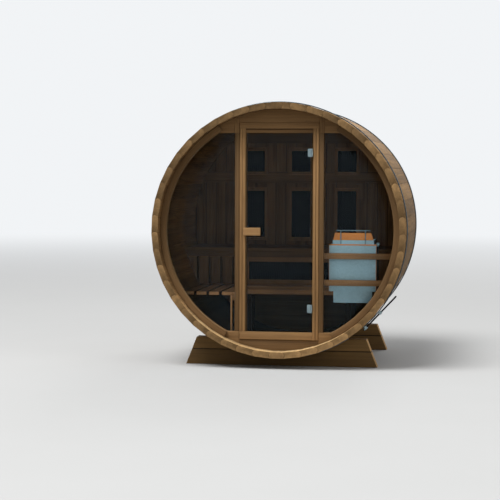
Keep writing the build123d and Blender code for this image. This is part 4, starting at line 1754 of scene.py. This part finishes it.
@dataclass
class Benches:
    """Rear bench, its closed front and the foot boards."""

    shop: Shop
    # The low tones of the bearers and step bearers paint them in shade under the benches; the high
    # tones of the guard rails and of the leg (side_bearer) paint the light that reaches them through
    # the glass.
    tones: dict[str, float] = field(default_factory=lambda: {
        "seat": 0.85, "front": 0.78, "frame": 1.35, "uprights": 0.98, "bearers": 0.1, "side": 1.0,
        "side_bearer": 1.25, "step": 0.98, "step_front": 1.7, "step_bearers": 0.1, "guards": 2.25})
    moves: dict[str, Pairs] = field(default_factory=lambda: {
        "uprights": ((0.0036, -0.0036),),
        "side": ((0.0, -0.013), (-0.01, -0.01), (-0.007, -0.008), (0.0, 0.024))})
    cleat_box: Corners = ((-0.3955, -0.7, 0.538), (-0.35, -0.655, 0.5795))
    # The cleat's high tone paints the light that reaches it through the glass.
    cleat_tone: float = 2.2
    cleat_round: float = 0.006
    cleat_ease: float = 0.002

    def build(self) -> None:
        """Dress every bench board and the dark panel, and fit the cleat."""
        board, tone = self.shop.boards, self.tones
        for node, name, axis, width, part in (
                ("bench_slats", "bench_boards", Axis.X, 0.005, "seat"),
                ("bench_fascia", "bench_front_board", Axis.X, 0.003, "front"),
                ("calf_frame", "calf_panel_frame", Axis.X, 0.002, "frame"),
                ("bench_skirt", "bench_uprights", Axis.Z, 0.008, "uprights"),
                ("bench_trestles", "bench_bearers", Axis.Y, 0.003, "bearers"),
                ("side_slats", "side_foot_boards", Axis.Y, 0.004, "side"),
                ("side_trestle", "side_bearer", Axis.Y, 0.003, "side_bearer"),
                ("step_slats", "step_boards", Axis.X, 0.004, "step"),
                ("step_fascia", "step_front_board", Axis.X, 0.003, "step_front"),
                ("step_trestles", "step_bearers", Axis.Z, 0.003, "step_bearers"),
                ("guard_rails", "heater_guard_rails", Axis.X, 0.004, "guards")):
            piece = board(node, name, "bench_wood", axis, width, segments=3, tone=tone[part],
                          moves=self.moves.get(part, ()))
            # Painted shade in the gaps between the uprights and between the foot boards.
            if part in ("uprights", "side"):
                self.shop.timber.soil_and_shade(piece, lambda face: abs(face.normal.x) > 0.25)
        panel = ribbed(carried("calf_panel", "calf_heating_panel"))
        self.shop.dress(panel, "dark_panel", CABIN, ["calf_panel"])
        self.cleat()

    def cleat(self) -> None:
        """Fit the short cleat that ties the foot boards' leg to the window post."""
        left, _, bottom = self.cleat_box[0]
        cleat = cuboid("foot_board_cleat", *self.cleat_box)
        with shaping(cleat, Part.EDGE):
            choose(cleat, Part.EDGE, lambda e: all(
                v.co.z < bottom + NEAR and v.co.x > left + self.cleat_round for v in e.verts))
            bpy.ops.mesh.bevel(offset=self.cleat_round, segments=3, affect="EDGES")
        ease(cleat, self.cleat_ease, 2, 50)
        self.shop.timber.lay(cleat, Axis.X, self.cleat_tone, 0.0)
        self.shop.dress(cleat, "bench_wood")


@dataclass
class RearWall:
    """Boarded rear wall, its lining and the framed dark panels."""

    shop: Shop
    board: float = 0.118
    rows: int = 9
    lining_board: float = 0.092
    columns: int = 12
    kerf: float = 0.0006
    board_ease: float = 0.0015
    groove: float = 0.0024
    frame_ease: float = 0.004
    greyed: float = 0.6
    rail: float = 0.08
    rail_under: float = 0.01
    gap: float = 0.013
    seat: float = 0.9
    beyond: tuple[float, float] = (-1.0, 2.0)
    # The boards below the seat are darker, with painted shade under the bench and grime.
    tones: dict[str, float] = field(default_factory=lambda: {
        "outside": 1.1, "lining": 1.22, "hidden": 0.2, "frames": 1.65})

    def build(self) -> None:
        """Saw, dress and hang the boards, frames and panels."""
        self.outside()
        self.lining()
        self.panels()

    def outside(self) -> None:
        """Lay the boards of the rear wall, one above the other."""
        rows = [AXIS_Z + n * self.board for n in range(-self.rows, self.rows + 1)]
        boards = sawn(carried("rear_wall", "wall"), 2, rows, self.kerf)
        for board in boards:
            ease(board, self.board_ease, 1)
            self.shop.timber.lay(board, Axis.X, self.tones["outside"], 0.14, self.greyed)
        self.shop.dress(join(boards, "rear_boards"), "bench_wood", CABIN, ["rear_wall"])

    def lining(self) -> None:
        """Nail two lifts of upright boards and a cross rail over the inside of the rear wall."""
        columns = [(n + 0.5) * self.lining_board for n in range(-self.columns, self.columns)]
        boards, (below, above) = [], self.beyond
        lifts = loose_parts(carried("back_lining", "lift"))
        lifts.sort(key=lambda lift: corners_of(lift)[0].z)
        split = corners_of(lifts[-1])[0].z
        heights = (split - self.rail_under, split + self.rail, split + above)
        rail, upper = sawn(lifts[-1], 2, heights, self.kerf)
        for lift in lifts[:-1]:
            for part in sawn(lift, 2, (below, self.seat, split - self.gap), self.kerf):
                boards += sawn(part, 0, columns, self.kerf)
        boards += sawn(upper, 0, columns, self.kerf)
        for board in (*boards, rail):
            ease(board, self.groove, 1)
            place = "hidden" if corners_of(board)[1].z < self.seat + 10 * NEAR else "lining"
            self.shop.timber.lay(board, Axis.X if board is rail else Axis.Z, self.tones[place], 0.08)
            # Painted shade on the board edges, in the joints between them.
            self.shop.timber.soil_and_shade(board, lambda face: max(abs(face.normal.x), abs(face.normal.z)) > 0.2)
        boards.append(rail)
        self.shop.dress(join(boards, "lining_boards"), "bench_wood", CABIN, ["back_lining"])

    def panels(self) -> None:
        """Frame the heating panels."""
        self.shop.boards("back_panel_trims", "panel_frames", "bench_wood", Axis.Z, self.frame_ease,
                         segments=3, tone=self.tones["frames"], spread=0.04)
        plates = [ribbed(part) for part in loose_parts(carried("back_panels", "plate"))]
        self.shop.dress(join(plates, "heating_panels"), "dark_panel", CABIN, ["back_panels"])


@dataclass
class Heater:
    """Heater seen from its back, with its stones."""

    shop: Shop
    width: float = 0.385
    height: float = 0.378
    foot: float = 0.093
    stones: tuple[int, int, int] = (7, 5, 2)
    stone_kinds: int = 4
    stone_seed: int = 5
    stone_size: float = 0.026
    stone_rough: float = 0.006
    stray: float = 0.004
    sizes: tuple[float, float] = (0.72, 0.9)
    hem: float = 0.0012
    hem_under: float = 0.0005
    edge: float = 0.001
    top_hem: tuple[float, float] = (-0.004, 0.006)
    left_hem: float = 0.002
    right_hem: float = 0.0028
    foot_hem: float = 0.0032
    foot_side_hem: float = 0.0034
    rivet: float = 0.0032
    rivet_in: float = 0.014
    rivets_low: tuple[float, float] = (0.02, 0.13)
    rivets_high: tuple[float, float] = (0.13, 0.024)
    knob_size: tuple[float, float] = (0.0145, 0.0195)
    knob_place: Triple = (0.0105, 0.03, 0.006)
    knob_rim: float = 0.0035
    knob_dish: float = 0.002
    knob_ease: float = 0.0014
    case_ease: float = 0.002
    hood_ease: float = 0.001
    bar_darkening: float = 0.45

    def build(self) -> None:
        """Dress the heater and fill its collar."""
        shop = self.shop
        body = ease(carried("heater_body", "heater_case"), self.case_ease)
        # Painted shade on the case's right side.
        shop.timber.soil_and_shade(body, lambda face: face.normal.x > 0.5)
        shop.dress(body, "galvanised_sheet", CABIN, ["heater_body"])
        shield = ease(carried("heater_shield", "heater_hood"), self.hood_ease)
        shop.dress(shield, "copper_sheet", CABIN, ["heater_shield"])
        bar = carried("heater_rail", "heater_bar")
        # The whole bar is made darker.
        shop.timber.soil_and_shade(bar, lambda face: True, self.bar_darkening)
        shop.dress(bar, "galvanised_sheet", CABIN, ["heater_rail"])
        self.knob()
        self.trim()
        self.fill()

    def knob(self) -> None:
        """Push a pale round knob over the spindle on the side of the case."""
        x0, y0, z0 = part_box("heater_body")[0]
        out, back, lift = self.knob_place
        middle = (x0 + self.width + out, y0 + back, z0 + self.foot + self.height + lift)
        knob = cylinder("heater_knob", middle, *self.knob_size, (0, QUARTER, 0), 28)
        with shaping(knob, Part.FACE):
            choose(knob, Part.FACE, lambda f: f.normal.x > FACING)
            bpy.ops.mesh.inset(thickness=self.knob_rim)
            bpy.ops.mesh.extrude_region_move(TRANSFORM_OT_translate={"value": (-self.knob_dish, 0, 0)})
        self.shop.dress(ease(knob, self.knob_ease, 2, 50), "galvanised_sheet")

    def strip(self, face: float, low: tuple[float, float], high: tuple[float, float]) -> Piece:
        """Fold one thin strip over a sheet, rounded along its face.

        Args:
            face: Where the sheet's face lies, along y.
            low: Left and bottom of the strip.
            high: Right and top of the strip.

        Returns:
            The strip.
        """
        block = cuboid("strip", (low[0], face - self.hem, low[1]),
                       (high[0], face + self.hem_under, high[1]))
        return ease(block, self.hem * 0.45, 2)

    def trim(self) -> None:
        """Fold the hems over the edges, the copper ones partly a painted reflection of the copper hood,
        and rivet the sheets.
        """
        x0, y0, z0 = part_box("heater_body")[0]
        x1, under = x0 + self.width, z0 + self.foot
        top, edge = under + self.height, self.edge
        start, end = (top + lift for lift in self.top_hem)
        # The copper hems are partly trim and partly a painted reflection of the copper hood along the
        # case's edges.
        hems = [self.strip(y0, (x0 + edge, start), (x1 - edge, end)),
                self.strip(y0, (x1 - edge - self.right_hem, under + edge), (x1 - edge, start - edge)),
                self.strip(y0, (x0 + edge, under + edge), (x0 + edge + self.left_hem, start - edge))]
        self.shop.dress(join(hems, "heater_hems"), "copper_sheet")
        self.rivets((x0 + self.rivet_in, x1 - self.rivet_in), y0,
                    [under + z for z in self.rivets_low] + [top - z for z in self.rivets_high])
        foot = [v.co for v in frame["nodes"]["heater_body"].data.vertices if v.co.z < z0 + 2 * edge]
        left, right, face = min(p.x for p in foot), max(p.x for p in foot), min(p.y for p in foot)
        start, end = z0 + 4 * NEAR, z0 + 4 * NEAR + self.foot_hem
        hems = [self.strip(face, (left, start), (right, end)),
                self.strip(face, (left, end + 4 * NEAR), (left + self.foot_side_hem, under - 6 * NEAR))]
        self.shop.dress(join(hems, "heater_foot_hems"), "galvanised_sheet")

    def rivets(self, columns: Iterable[float], face: float, heights: list[float]) -> None:
        """Rivet the sheets in upright rows.

        Args:
            columns: Where the rows stand, along x.
            face: Where the sheet's face lies, along y.
            heights: Heights of the rivets.
        """
        deselect()
        bpy.ops.mesh.primitive_uv_sphere_add(segments=16, ring_count=8, radius=self.rivet)
        dome = named("rivet")
        with shaping(dome, Part.VERT):
            choose(dome, Part.VERT, lambda v: v.co.z < -TINY)
            bpy.ops.mesh.delete(type="VERT")
            bpy.ops.mesh.select_all(action="SELECT")
            bpy.ops.transform.resize(value=(1.0, 1.0, 0.5))
            bpy.ops.mesh.fill_holes(sides=0)
        dome.data.transform(Matrix.Rotation(QUARTER, 4, "X"))
        rivets = [duplicate(dome, "rivet", Matrix.Translation((x, face, z)))
                  for x, z in product(columns, heights)]
        scrap(dome)
        self.shop.dress(join(rivets, "heater_rivets"), "galvanised_sheet")

    def stone(self, seed: int) -> Piece:
        """Break one stone.

        Args:
            seed: Gives each stone its own shape.

        Returns:
            The stone.
        """
        deselect()
        bpy.ops.mesh.primitive_ico_sphere_add(subdivisions=3, radius=self.stone_size)
        stone = named("stone")
        with shaping(stone, Part.VERT):
            bpy.ops.mesh.select_all(action="SELECT")
            bpy.ops.transform.vertex_random(offset=self.stone_rough, uniform=0.2, normal=0.6, seed=seed)
            bpy.ops.mesh.vertices_smooth(factor=0.5, repeat=2)
        return stone

    def fill(self) -> None:
        """Heap stones in the collar."""
        low, high = (Vector(corner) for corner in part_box("heater_stones"))
        draw = random.Random(self.stone_seed)
        kinds = [self.stone(n + 1) for n in range(self.stone_kinds)]
        heap, room = [], high - low
        for spot in product(*(range(count) for count in self.stones)):
            share = [(n + 0.5) / count for n, count in zip(spot, self.stones)]
            place = low + Vector([a * b for a, b in zip(room, share)])
            place += Vector([draw.uniform(-self.stray, self.stray) for _ in range(3)])
            angle = draw.uniform(0, math.tau)
            turn = Matrix.Rotation(angle, 4, Vector([draw.uniform(-1, 1) for _ in range(3)]))
            size = Matrix.Diagonal((*[draw.uniform(*self.sizes) for _ in range(3)], 1.0))
            heap.append(duplicate(draw.choice(kinds), "stone", Matrix.Translation(place) @ turn @ size))
        scrap(*kinds)
        pile = join(heap, "stones")
        for point in pile.data.vertices:
            for n in range(3):
                point.co[n] = min(max(point.co[n], low[n]), high[n])
        self.shop.dress(pile, "stone", CABIN, ["heater_stones"], 60.0)


# The studio


@dataclass(frozen=True)
class View:
    """The photograph's place and direction of view."""

    place: Triple = (1.63446, -13.06669, 1.62507)
    yaw: float = 0.1512
    pitch: float = 0.0536
    roll: float = 0.0034
    lens: float = 110.2
    sensor: float = 36.0
    clip: tuple[float, float] = (0.1, 400.0)

    def build(self) -> None:
        """Set up the camera."""
        level = math.cos(self.pitch)
        ahead = Vector((-math.sin(self.yaw) * level, math.cos(self.yaw) * level, -math.sin(self.pitch)))
        right = Vector((math.cos(self.yaw), math.sin(self.yaw), 0))
        up = right.cross(ahead)
        tilt_right = math.cos(self.roll) * right + math.sin(self.roll) * up
        tilt_up = -math.sin(self.roll) * right + math.cos(self.roll) * up
        data = bpy.data.cameras.new("view")
        data.lens, data.sensor_width = self.lens, self.sensor
        data.clip_start, data.clip_end = self.clip
        camera = bpy.data.objects.new("view", data)
        camera.matrix_world = Matrix.Translation(self.place) @ Matrix(
            (tilt_right, tilt_up, -ahead)).transposed().to_4x4()
        bpy.context.scene.collection.objects.link(camera)
        bpy.context.scene.camera = camera


@dataclass(frozen=True)
class Lamp:
    """One soft square lamp."""

    name: str
    place: Triple
    aim: Triple
    size: float
    power: float

    def build(self) -> None:
        """Hang the lamp, turned to its aim."""
        data = bpy.data.lights.new(self.name, "AREA")
        data.shape, data.size, data.energy = "SQUARE", self.size, self.power
        lamp = bpy.data.objects.new(self.name, data)
        lamp.location = self.place
        ahead = Vector(self.aim) - Vector(self.place)
        lamp.rotation_euler = ahead.to_track_quat("-Z", "Y").to_euler()
        bpy.context.scene.collection.objects.link(lamp)


@dataclass(frozen=True)
class Studio:
    """Pale floor that runs out into pale surroundings, and soft lamps."""

    sky: Colour = (0.93, 0.95, 0.97)
    sky_seen: float = 0.95
    sky_light: float = 0.42
    floor_size: float = 200.0
    floor_seen: Colour = (0.42, 0.42, 0.415)
    floor_cloud: Colour = (0.5, 0.5, 0.5)
    floor_light: Colour = (0.24, 0.23, 0.21)
    floor_near: float = 4.0
    floor_far: float = 26.0
    clouds: Triple = (1.5, 1.5, 1.5)
    lamps: tuple[Lamp, ...] = (
        Lamp("key", (-6.0, -8.0, 20.0), (0.0, -0.6, 1.0), 11.0, 6600.0),
        Lamp("fill", (13.0, -8.0, 8.0), (0.0, 0.0, 1.1), 8.0, 520.0),
        Lamp("rear", (4.0, 16.0, 12.0), (0.0, 0.0, 1.2), 8.0, 1100.0))

    def seen(self, g: Graph) -> Socket:
        """Tell rays that show the surroundings from those that only light.

        Args:
            g: The nodes to add to.

        Returns:
            1 for rays from the camera, off a mirror or through glass, else 0.
        """
        ray = g.add("ShaderNodeLightPath").outputs
        either = g.maths("MAXIMUM", ray["Is Camera Ray"], ray["Is Glossy Ray"])
        return g.maths("MAXIMUM", either, ray["Is Transmission Ray"])

    def floor(self) -> None:
        """Lay the floor, which takes the colour of the surroundings further out."""
        deselect()
        bpy.ops.mesh.primitive_plane_add(size=self.floor_size, location=(0, 0, 0))
        floor = named("studio_floor")
        g = Graph(bpy.data.materials.new("studio_floor"))
        place, seen = g.places(), self.seen(g)
        mottle = g.stretch(g.noise(place, self.clouds, 4.0), 0.3, 0.7, 0.0, 0.06)
        pale = g.blend(mottle, self.floor_seen, self.floor_cloud)
        near = g.add("ShaderNodeBsdfPrincipled", {"Base Color": g.blend(seen, self.floor_light, pale),
                                                  "Roughness": 0.9, "Specular IOR Level": 0.1})
        far = g.add("ShaderNodeEmission", {"Color": (*self.sky, 1.0), "Strength": self.sky_seen})
        away = g.add("ShaderNodeVectorMath", {0: place}, operation="LENGTH").outputs["Value"]
        share = g.add("ShaderNodeMapRange", {"Value": away, "From Min": self.floor_near,
                                             "From Max": self.floor_far},
                      interpolation_type="SMOOTHSTEP").outputs[0]
        both = g.add("ShaderNodeMixShader", {0: g.product(share, seen), 1: near.outputs[0],
                                             2: far.outputs[0]})
        g.add("ShaderNodeOutputMaterial", {"Surface": both.outputs[0]})
        floor.data.materials.append(g.owner)

    def surroundings(self) -> None:
        """Set the soft light from all round."""
        world = bpy.data.worlds.new("surroundings")
        bpy.context.scene.world = world
        g = Graph(world)
        strength = g.maths("MULTIPLY_ADD", self.seen(g), self.sky_seen - self.sky_light, self.sky_light)
        sky = g.add("ShaderNodeBackground", {"Color": (*self.sky, 1.0), "Strength": strength})
        g.add("ShaderNodeOutputWorld", {"Surface": sky.outputs[0]})

    def build(self) -> None:
        """Set up floor, surroundings and lamps."""
        self.floor()
        self.surroundings()
        for lamp in self.lamps:
            lamp.build()


# Everything together


def main() -> None:
    """Build the sauna in order and report each piece."""
    logging.basicConfig(level=logging.INFO, format="%(message)s")
    View().build()
    Studio().build()
    shop = Shop(Finishes().make(), Timber(seed=11))
    for assembly in (StaveShell(shop), Hoops(shop), Cradles(shop), FrontWall(shop), GlassDoor(shop),
                     Benches(shop), RearWall(shop), Heater(shop)):
        assembly.build()
        LOG.info("%s is done", type(assembly).__name__)
    LOG.info("%d pieces", len(shop.made))
    bpy.context.scene.view_settings.view_transform = "Standard"


if __name__ == "__main__":
    main()
